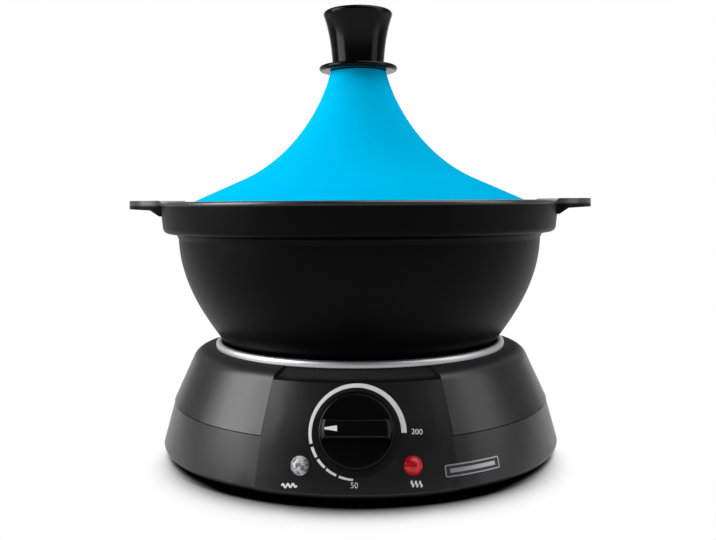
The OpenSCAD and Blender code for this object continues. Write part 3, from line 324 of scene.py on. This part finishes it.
printed = Growth("printed_on", {"Carrier": "Object", "Towards": "Vector", "Lift": "Float"})
carrier = printed.node(
    "GeometryNodeObjectInfo", {"transform_space": "ORIGINAL"},
    {"Object": printed.given("Carrier")}, "Geometry",
)
towards = printed.given("Towards")
landing = printed.node(
    "GeometryNodeRaycast", {},
    {"Target Geometry": carrier, "Ray Direction": towards, "Ray Length": INK_REACH}, "Hit Position",
)
backwards = printed.given("Lift") * -1
standoff = printed.node("ShaderNodeVectorMath", {"operation": "SCALE"}, {0: towards, "Scale": backwards})
resting = printed.node("ShaderNodeVectorMath", {"operation": "ADD"}, {0: landing, 1: standoff})
laid = {"Geometry": printed.given("Base"), "Position": resting}
printed.end(printed.node("GeometryNodeSetPosition", {}, laid))


def strip(points, widths):
    """Corners and faces of a band of ink along a line, as wide as given at each point."""
    corners = []
    for i, (x, y) in enumerate(points):
        ahead = points[min(i + 1, len(points) - 1)]
        behind = points[max(i - 1, 0)]
        run = Vector((ahead[0] - behind[0], ahead[1] - behind[1])).normalized()
        half = widths[i] / 2
        corners += [(x - run.y * half, y + run.x * half), (x + run.y * half, y - run.x * half)]
    faces = [(2 * i, 2 * i + 1, 2 * i + 3, 2 * i + 2) for i in range(len(points) - 1)]
    return corners, faces


def scale_dash(start, end):
    steps = max(2, round((end - start) / 3))
    points, widths = [], []
    for i in range(steps + 1):
        turn = start + (end - start) * i / steps
        width = SCALE_THIN + (SCALE_THICK - SCALE_THIN) * turn / SCALE_END
        reach = SCALE_RADIUS + width / 2
        points.append((-reach * math.sin(math.radians(turn)), -reach * math.cos(math.radians(turn))))
        widths.append(width)
    return strip(points, widths)


def figure(text, x, y):
    letters = bpy.data.curves.new(text, "FONT")
    letters.body = text
    letters.size = FIGURE_HEIGHT * SIZE_PER_HEIGHT
    letters.align_x = "CENTER"
    letters.align_y = "CENTER"
    holder = bpy.data.objects.new(text, letters)
    bpy.context.scene.collection.objects.link(holder)
    mesh = bpy.data.meshes.new_from_object(holder.evaluated_get(bpy.context.evaluated_depsgraph_get()))
    bpy.data.objects.remove(holder)
    return [(v.co.x + x, v.co.y + y) for v in mesh.vertices], [tuple(face.vertices) for face in mesh.polygons]


def wave(x, y, length, swing, turns, upright):
    points = []
    for i in range(WAVE_STEPS * turns + 1):
        along = length * (i / (WAVE_STEPS * turns) - 0.5)
        aside = swing * math.sin(2 * math.pi * i / WAVE_STEPS)
        points.append((x + aside, y + along) if upright else (x + along, y + aside))
    return strip(points, [MARK_WIDTH] * len(points))


def ink_mesh(name, shapes):
    """Flat ink, held in front of the piece that it is printed on."""
    points, faces = [], []
    for corners, sides in shapes:
        first = len(points)
        points += [dial_centre + panel_right * x + panel_up * y + dial_axis * INK_START for x, y in corners]
        faces += [tuple(first + i for i in side) for side in sides]
    mesh = bpy.data.meshes.new(name)
    mesh.from_pydata(points, [], faces)
    return mesh


def lay_ink(name, shapes, carrier, body):
    print_piece = printed.make(
        name, ink_mesh(name, shapes), white_ink,
        {"Carrier": carrier, "Towards": -dial_axis, "Lift": INK_LIFT},
    )
    skin = print_piece.modifiers.new("ink_depth", "SOLIDIFY")
    skin.thickness = INK_DEPTH
    skin.offset = 1
    cover(print_piece, white_ink, body, None)


white_ink = Finish("white_ink", {"Specular IOR Level": 0.3})
wear = white_ink.noise(900, 4)
white_ink.vary(wear, tint(206, 206, 206), tint(238, 238, 238), 0.45, 0.2)
power_mark = wave(-0.0400, -0.0300, 0.0092, 0.0010, 3, False)
heat_marks = [wave(0.0355 + step, -0.0292, 0.0034, 0.0006, 1, True) for step in (-0.0025, 0, 0.0025)]
figures = [figure("50", -0.0012, -0.0306), figure("200", 0.0362, 0.0008)]
dashes = [scale_dash(*dash) for dash in SCALE_DASHES]
lay_ink("panel_print", dashes + figures + [power_mark] + heat_marks, housing_band, "base")

# Badge: a bare nameplate in a bright frame, pressed on the band to the right of the dial.
# The plate is black anodised strip bent to the band; its frame is stamped from bright sheet.
BADGE_WIDTH = 0.040
BADGE_HEIGHT = 0.0075
BADGE_LEVEL = 0.018
BADGE_CORNER = 0.0012
BADGE_FRAME = 0.0009
BADGE_FACE = 0.0012
BADGE_SINK = -0.0002
PLATE_FACE = BADGE_FACE - 0.0005
BAR_WIDTH = 0.033
BAR_HEIGHT = 0.0024
BAR_BACK = 0.0005
BAR_FACE = BADGE_FACE - 0.0002
BENDS = 12
BADGE_TURN = math.radians(29.85)
BAND_LOW = 0.0082
BAND_HIGH = 0.0378
band_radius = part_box("lower_housing")[1][0]
band_slope = (band_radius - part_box("upper_housing")[1][0]) / (BAND_HIGH - BAND_LOW)
band_lean = math.atan(band_slope)
badge_radius = band_radius - (BADGE_LEVEL - BAND_LOW) * band_slope


def on_band(across, up, out):
    """A point of the band's cone, measured from the badge's middle round the band, up it and off it."""
    turn = BADGE_TURN + across / badge_radius
    reach = badge_radius - up * math.sin(band_lean) + out * math.cos(band_lean)
    level = BADGE_LEVEL + up * math.cos(band_lean) + out * math.sin(band_lean)
    return (reach * math.sin(turn), -reach * math.cos(turn), level)


def badge_outline(inset):
    """A rounded rectangle with points close enough along its long sides to bend round the band."""
    half_w = BADGE_WIDTH / 2 - inset
    half_h = BADGE_HEIGHT / 2 - inset
    corner = BADGE_CORNER - inset
    points = []
    for start, side, rise in ((0, 1, 1), (90, -1, 1), (180, -1, -1), (270, 1, -1)):
        for i in range(5):
            angle = math.radians(start + 22.5 * i)
            x = side * (half_w - corner) + corner * math.cos(angle)
            points.append((x, rise * (half_h - corner) + corner * math.sin(angle)))
        if side == rise:
            straight = side * (half_w - corner)
            points += [(straight * (1 - i / BENDS), rise * half_h) for i in range(1, 2 * BENDS)]
    return points


def lofted(name, rings, closed):
    """A skin through rings of points. Closed joins the last ring to the first, or else the ends fill."""
    size = len(rings[0])
    faces = []
    for i in range(len(rings) if closed else len(rings) - 1):
        a, b = i * size, (i + 1) % len(rings) * size
        faces += [(a + j, a + (j + 1) % size, b + (j + 1) % size, b + j) for j in range(size)]
    if not closed:
        last = (len(rings) - 1) * size
        faces += [tuple(range(size)), tuple(range(last, last + size))]
    mesh = bpy.data.meshes.new(name)
    mesh.from_pydata([point for ring in rings for point in ring], [], faces)
    shape = bmesh.new()
    shape.from_mesh(mesh)
    bmesh.ops.recalc_face_normals(shape, faces=shape.faces)
    shape.to_mesh(mesh)
    shape.free()
    mesh.shade_smooth()
    mesh.set_sharp_from_angle(angle=math.radians(40))
    piece = bpy.data.objects.new(name, mesh)
    bpy.context.scene.collection.objects.link(piece)
    return piece


def bent_bar(name, width, height, back, face):
    """A flat bar that follows the band."""
    section = [(-height / 2, back), (height / 2, back), (height / 2, face), (-height / 2, face)]
    stations = [width / 2 * (i / BENDS - 1) for i in range(2 * BENDS + 1)]
    return lofted(name, [[on_band(across, up, out) for up, out in section] for across in stations], False)


frame_section = [
    (0, BADGE_SINK), (0, BADGE_FACE - 0.0002), (0.00015, BADGE_FACE), (BADGE_FRAME - 0.0001, BADGE_FACE),
    (BADGE_FRAME, BADGE_FACE - 0.0003), (BADGE_FRAME, BADGE_SINK),
]
frame_rings = [[on_band(x, y, out) for x, y in badge_outline(inset)] for inset, out in frame_section]
badge_frame = lofted("badge_frame", frame_rings, True)
bright_strip = Finish("bright_strip", {"Metallic": 1})
rub = bright_strip.noise(90, 3, (1, 1, 20))
bright_strip.vary(rub, tint(150, 151, 153), tint(188, 189, 191), 0.3, 0.15)
cover(badge_frame, bright_strip, "base", "ring_bright")

plate_width = BADGE_WIDTH - 2 * BADGE_FRAME
badge_plate = bent_bar("badge_plate", plate_width, BADGE_HEIGHT - 2 * BADGE_FRAME, BADGE_SINK, PLATE_FACE)
anodised = Finish("anodised_black", {"Specular IOR Level": 0.5})
brushing = anodised.noise(160, 3, (1, 1, 14))
anodised.vary(brushing, tint(20, 20, 21), tint(44, 44, 45), 0.34, 0.12)
cover(badge_plate, anodised, "base", "base_black")

badge_bar = bent_bar("badge_bar", BAR_WIDTH, BAR_HEIGHT, BAR_BACK, BAR_FACE)
cover(badge_bar, bright_strip, "base", "ring_bright")

# Heater: an aluminium plate with a tube element clamped under it, in a thin steel dish.
# The plate's face is turned on a lathe, the dish is drawn sheet, the element is scaled by heat.
GROOVE_PITCH = 0.0012
plate_metal = Finish("turned_aluminium", {"Metallic": 1})
across = plate_metal.part(plate_metal.place, "X")
along = plate_metal.part(plate_metal.place, "Y")
reach = (across * across + along * along) ** 0.5
groove = plate_metal.node("ShaderNodeMath", {"operation": "SINE"}, {0: reach * (2 * math.pi / GROOVE_PITCH)})
stain = plate_metal.noise(22, 4)
plate_metal.vary(stain, tint(128, 127, 124), tint(170, 170, 168), 0.34, 0.2)
plate_metal.bump(groove, 0.00003)
dress(plate_metal, "heating_plate")

dish_steel = Finish("drawn_steel", {"Metallic": 1})
streak = dish_steel.noise(60, 3, (1, 1, 8))
dish_steel.vary(streak, tint(120, 121, 123), tint(168, 169, 171), 0.3, 0.2)
dress(dish_steel, "heat_shield", "bulb_clips", "fuse_clip", "thermal_fuse", "thermostat_shaft")

scale_steel = Finish("scaled_element", {"Metallic": 0.7})
scale = scale_steel.noise(180, 4)
scale_steel.vary(scale, tint(44, 41, 40), tint(78, 72, 68), 0.5, 0.25)
scale_steel.bump(scale, 0.00006)
dress(scale_steel, "heating_element")

porcelain = Finish("bush_porcelain", {"Coat Roughness": 0.15})
fleck = porcelain.noise(240, 2)
porcelain.vary(fleck, tint(222, 216, 204), tint(238, 234, 226), 0.35, 0.15)
dress(porcelain, "element_bushes", "terminal_block")

# Control gear: thermostat with its shaft, capillary sensor, terminal block, leads and cord gland.
# Bought-in pieces: a phenolic case, a copper bulb, brass clamps, silicone-covered leads, a nylon gland.
case = Finish("thermostat_case", {"Specular IOR Level": 0.4})
filler = case.noise(300, 3)
case.vary(filler, tint(34, 30, 27), tint(60, 54, 48), 0.45, 0.15)
dress(case, "thermostat")

copper = Finish("sensor_copper", {"Metallic": 1})
tarnish = copper.noise(140, 4)
copper.vary(tarnish, tint(150, 88, 58), tint(206, 132, 92), 0.25, 0.25)
dress(copper, "sensor_bulb")

brass = Finish("clamp_brass", {"Metallic": 1})
film = brass.noise(260, 3)
brass.vary(film, tint(168, 134, 66), tint(206, 174, 100), 0.25, 0.2)
dress(brass, "terminal_screws")

lead_skin = Finish("lead_silicone", {"Specular IOR Level": 0.4})
chalk = lead_skin.noise(200, 2)
lead_skin.vary(chalk, tint(196, 192, 184), tint(222, 219, 212), 0.5, 0.15)
dress(lead_skin, "wiring")

nylon = Finish("gland_nylon", {"Specular IOR Level": 0.5})
sheen = nylon.noise(80, 3)
nylon.vary(sheen, tint(14, 14, 15), tint(22, 22, 23), 0.32, 0.12)
nylon.bump(nylon.noise(900), 0.00003)
dress(nylon, "cord_gland", "lamp_nuts", "lid_gasket")

# Dial: a black moulded skirt with a raised grip bar, pressed on the thermostat's flatted shaft.
# Moulded in a polished tool, so it is glossier than the housings; the pointer is inked on the bar's end.
DIAL_EDGE = 0.0003
POINTER_TIP = -0.0181
POINTER_ROOT = -0.0108
POINTER_WIDTH = 0.0017
POINTER_STEPS = 8
dial_plastic = Finish("dial_plastic", {"Specular IOR Level": 0.16})
swirl = dial_plastic.noise(70, 4)
dial_plastic.vary(swirl, tint(2, 2, 2), tint(5, 5, 5), 0.2, 0.1)
dial = smooth_copy("dial", "control_knob", DIAL_EDGE)
cover(dial, dial_plastic, "dial", "dial_black", "control_knob")
pointer_shares = [i / POINTER_STEPS for i in range(POINTER_STEPS + 1)]
pointer_line = [(POINTER_TIP + (POINTER_ROOT - POINTER_TIP) * share, 0) for share in pointer_shares]
pointer_widths = [POINTER_WIDTH * (0.7 + 1.3 * share) for share in pointer_shares]
lay_ink("pointer", [strip(pointer_line, pointer_widths)], dial, "dial")

# Pilot lights: two domed lenses pushed through the panel, one clear and one red, with neon bulbs behind.
# Cast acrylic with small prisms on the inside; their relief is a real bump, and their mottle of light and
# dark is put in the colour as painted glints and painted shade.
PRISMS_PER_METRE = 620
PRISM_DEPTH = 0.0002


def prism_lens(name, dark, bright, values):
    """A lens finish: prisms a little over a millimetre wide, as a real bump and as painted glints and painted
    shade in the colour.
    """
    finish = Finish(name, {"Roughness": 0.14, "IOR": 1.49, **values})
    sockets = {"Vector": finish.place, "Scale": PRISMS_PER_METRE}
    prisms = finish.node("ShaderNodeTexVoronoi", {}, sockets, "Color")
    prism_relief_and_painted_glint = finish.part(prisms, "X")
    # Painted glints and painted shade: each prism's colour swings between the dark and the bright tint.
    finish.set({"Base Color": finish.mix(prism_relief_and_painted_glint, dark, bright)})
    finish.bump(prism_relief_and_painted_glint, PRISM_DEPTH, 0.5)
    return finish


clear_lens = prism_lens("lens_clear", tint(96, 97, 99), tint(236, 237, 238), {"Transmission Weight": 0.25})
dress(clear_lens, "power_lens")
red_lens = prism_lens("lens_red", tint(120, 0, 10), tint(214, 4, 26), {"Emission Strength": 0.12})
red_lens.set({"Emission Color": tint(230, 6, 28)})
dress(red_lens, "heat_lens")

bulb_glass = Finish("bulb_glass", {"Transmission Weight": 0.7, "IOR": 1.45})
seed = bulb_glass.noise(300, 2)
bulb_glass.vary(seed, tint(214, 210, 200), tint(240, 238, 232), 0.1, 0.1)
dress(bulb_glass, "lamp_bulbs")

# Trim ring: a half-round bright ring that lies in the rebate round the well.
# Rolled steel strip, welded and satin-polished round and round, so its brightness runs in fine hoops.
RING_WIDTH = 0.005
SEGMENTS = 192
turned = Growth("turned_piece", {"Segments": "Int"})
outline = turned.given("Base")
around = turned.given("Segments")
count = turned.node(
    "GeometryNodeAttributeDomainSize", {"component": "MESH"}, {"Geometry": outline}, "Point Count",
)
index = turned.node("GeometryNodeInputIndex", {}, {})
spot = turned.node("GeometryNodeInputPosition", {}, {})
on_outline = turned.node(
    "GeometryNodeSampleIndex", {"data_type": "FLOAT_VECTOR"},
    {"Geometry": outline, "Value": spot, "Index": index % count},
)
turn = (index // count) * (2 * math.pi) / around
reach = turned.part(on_outline, "X")
swung = turned.node("ShaderNodeCombineXYZ", {}, {
    "X": reach * turned.node("ShaderNodeMath", {"operation": "COSINE"}, {0: turn}),
    "Y": reach * turned.node("ShaderNodeMath", {"operation": "SINE"}, {0: turn}),
    "Z": turned.part(on_outline, "Z"),
})
skin = turned.node("GeometryNodeMeshGrid", {}, {"Vertices X": around + 1, "Vertices Y": count}, "Mesh")
lathed = turned.node("GeometryNodeSetPosition", {}, {"Geometry": skin, "Position": swung})
welded = turned.node("GeometryNodeMergeByDistance", {}, {"Geometry": lathed, "Distance": 2 * WELD_DISTANCE})
turned.end(turned.node("GeometryNodeSetShadeSmooth", {}, {"Geometry": welded}))


def arc(centre, radius, start, end, steps):
    angles = [math.radians(start + (end - start) * i / steps) for i in range(steps + 1)]
    return [(centre[0] + radius * math.cos(a), centre[1] + radius * math.sin(a)) for a in angles]


def turn_piece(name, points, finish):
    """A turned piece from its closed outline, given as distances from the axis and heights."""
    mesh = bpy.data.meshes.new(name)
    mesh.from_pydata([(x, 0, z) for x, z in points + points[:1]], [], [])
    piece = turned.make(name, mesh, finish, {"Segments": SEGMENTS})
    shape = bmesh.new()
    shape.from_mesh(piece.data)
    bmesh.ops.recalc_face_normals(shape, faces=shape.faces)
    shape.to_mesh(piece.data)
    shape.free()
    piece.data.set_sharp_from_angle(angle=SHARP_ANGLE)
    return piece


ring_low, ring_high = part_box("trim_ring")
ring_round = RING_WIDTH / 2
ring_inner = ring_high[0] - RING_WIDTH
ring_metal = Finish("polished_ring", {"Metallic": 1})
hoop = ring_metal.noise(30, 3, (1, 1, 60))
ring_metal.vary(hoop, tint(200, 201, 203), tint(222, 223, 225), 0.4, 0.1)
ring = turn_piece(
    "trim_hoop",
    [(ring_inner, ring_low[2]), (ring_high[0], ring_low[2])]
    + arc((ring_inner + ring_round, ring_high[2] - ring_round), ring_round, 0, 180, 24),
    ring_metal,
)
cover(ring, ring_metal, "base", "ring_bright", "trim_ring")

# Pot: a cast aluminium bowl with a stepped rim and two ears, lifted out by hand.
# Coated inside and out with a black non-stick that keeps a soft, slightly pebbled skin.
POT_EDGE = 0.0007
POLISH_LOW = 0.1765
POLISH_HIGH = 0.1785
coating = Finish("non_stick_black", {"Specular IOR Level": 0.06, "Coat Roughness": 0.3, "Coat IOR": 1.7})
pebble = coating.noise(900, 3)
mottle = coating.noise(16, 4)
coating.vary(mottle, tint(1, 1, 1), tint(3, 3, 3), 0.36, 0.1)
coating_level = coating.part(coating.place, "Z")
coating.set({"Coat Weight": coating.ramp(coating_level, POLISH_LOW, POLISH_HIGH)})
coating.bump(pebble, 0.00003)
cover(smooth_copy("cast_pot", "pot", POT_EDGE), coating, "pot", "pot_black", "pot")

# Lid: a tall concave cone that stands in the rim; clay, thrown and fired with a bright blue satin glaze.
# The glaze lies in soft clouds, with fine throwing rings under it.
LID_WALL = 0.005
LID_SKIRT = 0.0103
LID_EDGE = 0.0015
LID_CROWN = 0.008
LID_LIP = 0.0008
NECK_RADIUS = 0.0204
NECK_LEAN = math.radians(13)
NECK_PULL = 0.022
BRIM_WIDTH = 0.0528
BRIM_SLOPE = math.radians(24.2)
BRIM_PULL = 0.042
SCREW_HOLE = 0.00265
lid_low, lid_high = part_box("lid")
lid_radius = lid_high[0]
brim_level = lid_low[2] + LID_SKIRT
brim_start = Vector((lid_radius - BRIM_WIDTH, brim_level + BRIM_WIDTH * math.tan(BRIM_SLOPE)))


def cubic(a, b, c, d, steps):
    points = []
    for i in range(steps + 1):
        t = i / steps
        points.append(a * (1 - t) ** 3 + b * 3 * t * (1 - t) ** 2 + c * 3 * t * t * (1 - t) + d * t ** 3)
    return points


neck = Vector((NECK_RADIUS, lid_high[2]))
cone = cubic(
    neck, neck + Vector((math.sin(NECK_LEAN), -math.cos(NECK_LEAN))) * NECK_PULL,
    brim_start + Vector((-math.cos(BRIM_SLOPE), math.sin(BRIM_SLOPE))) * BRIM_PULL, brim_start, 48,
)
edge_centre = (lid_radius - LID_EDGE, brim_level - LID_EDGE * 0.4)
cone += arc(edge_centre, LID_EDGE, 90 - math.degrees(BRIM_SLOPE), 0, 6)
underside = []
for i, point in enumerate(cone):
    run = (Vector(cone[min(i + 1, len(cone) - 1)]) - Vector(cone[max(i - 1, 0)])).normalized()
    inner = Vector(point) + Vector((run.y, -run.x)) * LID_WALL
    if inner.y < lid_high[2] - LID_CROWN and inner.x < lid_radius - LID_WALL:
        underside.append(inner)
lid_outline = (
    [(SCREW_HOLE, lid_high[2])] + [tuple(p) for p in cone]
    + [(lid_radius, lid_low[2] + LID_LIP), (lid_radius - LID_LIP, lid_low[2])]
    + [(lid_radius - LID_WALL, lid_low[2]), (lid_radius - LID_WALL, brim_level - LID_WALL)]
    + [tuple(p) for p in reversed(underside)]
    + [(underside[0].x, lid_high[2] - LID_CROWN), (SCREW_HOLE, lid_high[2] - LID_CROWN)]
)
glaze = Finish("blue_glaze", {"Specular IOR Level": 0})
pool = glaze.noise(14, 4)
throwing = glaze.noise(40, 2, (0.2, 0.2, 6))
glaze.vary(pool, tint(0, 178, 228), tint(0, 184, 233), 0.55, 0.1)
glaze.bump(throwing, 0.00006)
cover(turn_piece("glazed_lid", lid_outline, glaze), glaze, "lid", "lid_blue", "lid")

# Grip and collar: black phenolic, turned smooth, screwed down through the lid's crown.
# A satin skin with the faint rings of the tool.
GRIP_FOOT = 0.0186
GRIP_EDGE = 0.0026
GRIP_CROWN = 0.0012
GRIP_BORE = 0.017
collar_low, collar_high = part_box("knob_collar")
grip_low, grip_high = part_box("lid_knob")
collar_round = (collar_high[2] - collar_low[2]) / 2
grip_height = grip_high[2] - grip_low[2]
grip_shoulder = grip_high[2] - GRIP_CROWN - GRIP_EDGE
grip_plastic = Finish("grip_phenolic", {"Specular IOR Level": 0.12})
handling = grip_plastic.noise(40, 4)
rings = grip_plastic.noise(12, 2, (0.2, 0.2, 60))
grip_plastic.vary(handling, tint(1, 1, 1), tint(3, 3, 3), 0.14, 0.06)
grip_plastic.bump(rings, 0.00002)
collar = turn_piece(
    "collar_disc",
    [(SCREW_HOLE, collar_low[2])]
    + arc((collar_high[0] - collar_round, collar_low[2] + collar_round), collar_round, -90, 90, 16)
    + [(SCREW_HOLE, collar_high[2])],
    grip_plastic,
)
cover(collar, grip_plastic, "lid", "grip_black", "knob_collar")
flank = cubic(
    Vector((GRIP_FOOT, grip_low[2])), Vector((GRIP_FOOT + 0.0008, grip_low[2] + grip_height * 0.3)),
    Vector((GRIP_FOOT + 0.002, grip_low[2] + grip_height * 0.6)), Vector((grip_high[0], grip_shoulder)), 28,
)
grip = turn_piece(
    "turned_grip",
    [(SCREW_HOLE, grip_low[2])] + [tuple(p) for p in flank]
    + arc((grip_high[0] - GRIP_EDGE, grip_shoulder), GRIP_EDGE, 10, 75, 8)
    + [(grip_high[0] * 0.55, grip_high[2] - GRIP_CROWN * 0.3), (0, grip_high[2])]
    + [(0, grip_low[2] + GRIP_BORE), (SCREW_HOLE, grip_low[2] + GRIP_BORE)],
    grip_plastic,
)
cover(grip, grip_plastic, "lid", "grip_black", "lid_knob")

# Studio: a pale floor that runs to white, with a painted contact shadow near the base; one large soft window
# on the left, a weaker one on the right.
# Nothing bright stands in front, so the black faces that look at the camera stay black.
FLOOR_SIZE = 8.0
SHADOW_REACH = 0.04
WHITE_FROM = 0.112
WHITE_TO = 0.15
FRONT_LEVEL = 0.1
BACK_LEVEL = 0.3
TOP_LEVEL = 0.05
SHADOW_FORWARD = 0.04
floor_mesh = bpy.data.meshes.new("floor")
half = FLOOR_SIZE / 2
floor_corners = [(-half, -half, 0), (half, -half, 0), (half, half, 0), (-half, half, 0)]
floor_mesh.from_pydata(floor_corners, [], [(0, 1, 2, 3)])
floor = bpy.data.objects.new("floor", floor_mesh)
bpy.context.scene.collection.objects.link(floor)
paper = Finish("paper_floor", {"Roughness": 0.9, "Specular IOR Level": 0})
# Painted shadow: near the object, ambient occlusion turns the floor's colour towards near-black (tint 4) and
# holds back the white.
occlusion_for_painted_shadow = paper.node("ShaderNodeAmbientOcclusion", {"samples": 16}, {"Distance": SHADOW_REACH}, "AO")
paper.set({"Base Color": paper.mix(paper.ramp(occlusion_for_painted_shadow, 0.5, 0.98), tint(4, 4, 4), tint(246, 246, 246))})
floor_x = paper.part(paper.place, "X")
floor_y = paper.part(paper.place, "Y") + SHADOW_FORWARD
away = (floor_x * floor_x + floor_y * floor_y) ** 0.5
white = paper.node("ShaderNodeEmission", {}, {"Color": (1, 1, 1, 1), "Strength": 1.0})
camera_ray = paper.node("ShaderNodeLightPath", {}, {}, "Is Camera Ray")
gloss_ray = paper.node("ShaderNodeLightPath", {}, {}, "Is Glossy Ray")
glass_ray = paper.node("ShaderNodeLightPath", {}, {}, "Is Transmission Ray")
lit_paper = Line(paper, paper.shader.outputs[0])
seen = paper.ramp(camera_ray + gloss_ray + glass_ray, 0, 1)
# The white is held back where the occlusion is strong, so the painted shadow shows through.
white_outside_painted_shadow = paper.ramp(away, WHITE_FROM, WHITE_TO) * paper.ramp(occlusion_for_painted_shadow, 0.2, 0.5)
blend = paper.node("ShaderNodeMixShader", {}, {0: seen * white_outside_painted_shadow, 1: lit_paper, 2: white})
paper.join(paper.nodes.nodes["Material Output"].inputs["Surface"], blend)
floor_mesh.materials.append(paper.material)

world = bpy.data.worlds.new("studio")
bpy.context.scene.world = world
world.use_nodes = True
sky = Tree(world.node_tree)
heading = sky.node("ShaderNodeTexCoord", {}, {}, "Generated")
camera_ray = sky.node("ShaderNodeLightPath", {}, {}, "Is Camera Ray")
gloss_ray = sky.node("ShaderNodeLightPath", {}, {}, "Is Glossy Ray")
glass_ray = sky.node("ShaderNodeLightPath", {}, {}, "Is Transmission Ray")
behind = sky.ramp(sky.part(heading, "Y"), -0.2, 0.6)
above = sky.ramp(sky.part(heading, "Z"), 0.5, 1.0)
around_level = FRONT_LEVEL + behind * (BACK_LEVEL - FRONT_LEVEL) + above * TOP_LEVEL
backdrop = world.node_tree.nodes["Background"]
mirrored = sky.ramp(gloss_ray + glass_ray, 0, 1)
shown = camera_ray + mirrored * sky.ramp(sky.part(heading, "Y"), 0.75, 1.0)
sky.join(backdrop.inputs["Strength"], shown + (1 - shown) * around_level)
sky.join(backdrop.inputs["Color"], (1, 1, 1, 1))


def softbox(name, place, aim, width, height, power):
    lamp = bpy.data.lights.new(name, "AREA")
    lamp.shape = "RECTANGLE"
    lamp.size = width
    lamp.size_y = height
    lamp.energy = power
    stand = bpy.data.objects.new(name, lamp)
    bpy.context.scene.collection.objects.link(stand)
    stand.location = place
    stand.rotation_euler = (Vector(aim) - Vector(place)).to_track_quat("-Z", "Y").to_euler()


softbox("left_window", (-1.07, -0.27, 0.66), (0, 0, 0.08), 0.8, 1.05, 16.5)
softbox("right_window", (1.07, -0.27, 0.62), (0, 0, 0.08), 0.6, 1.05, 4)
softbox("top_window", (0.55, -0.1, 1.5), (0, 0, 0.15), 1.4, 1.2, 12.5)

bpy.context.scene.view_settings.view_transform = "Standard"
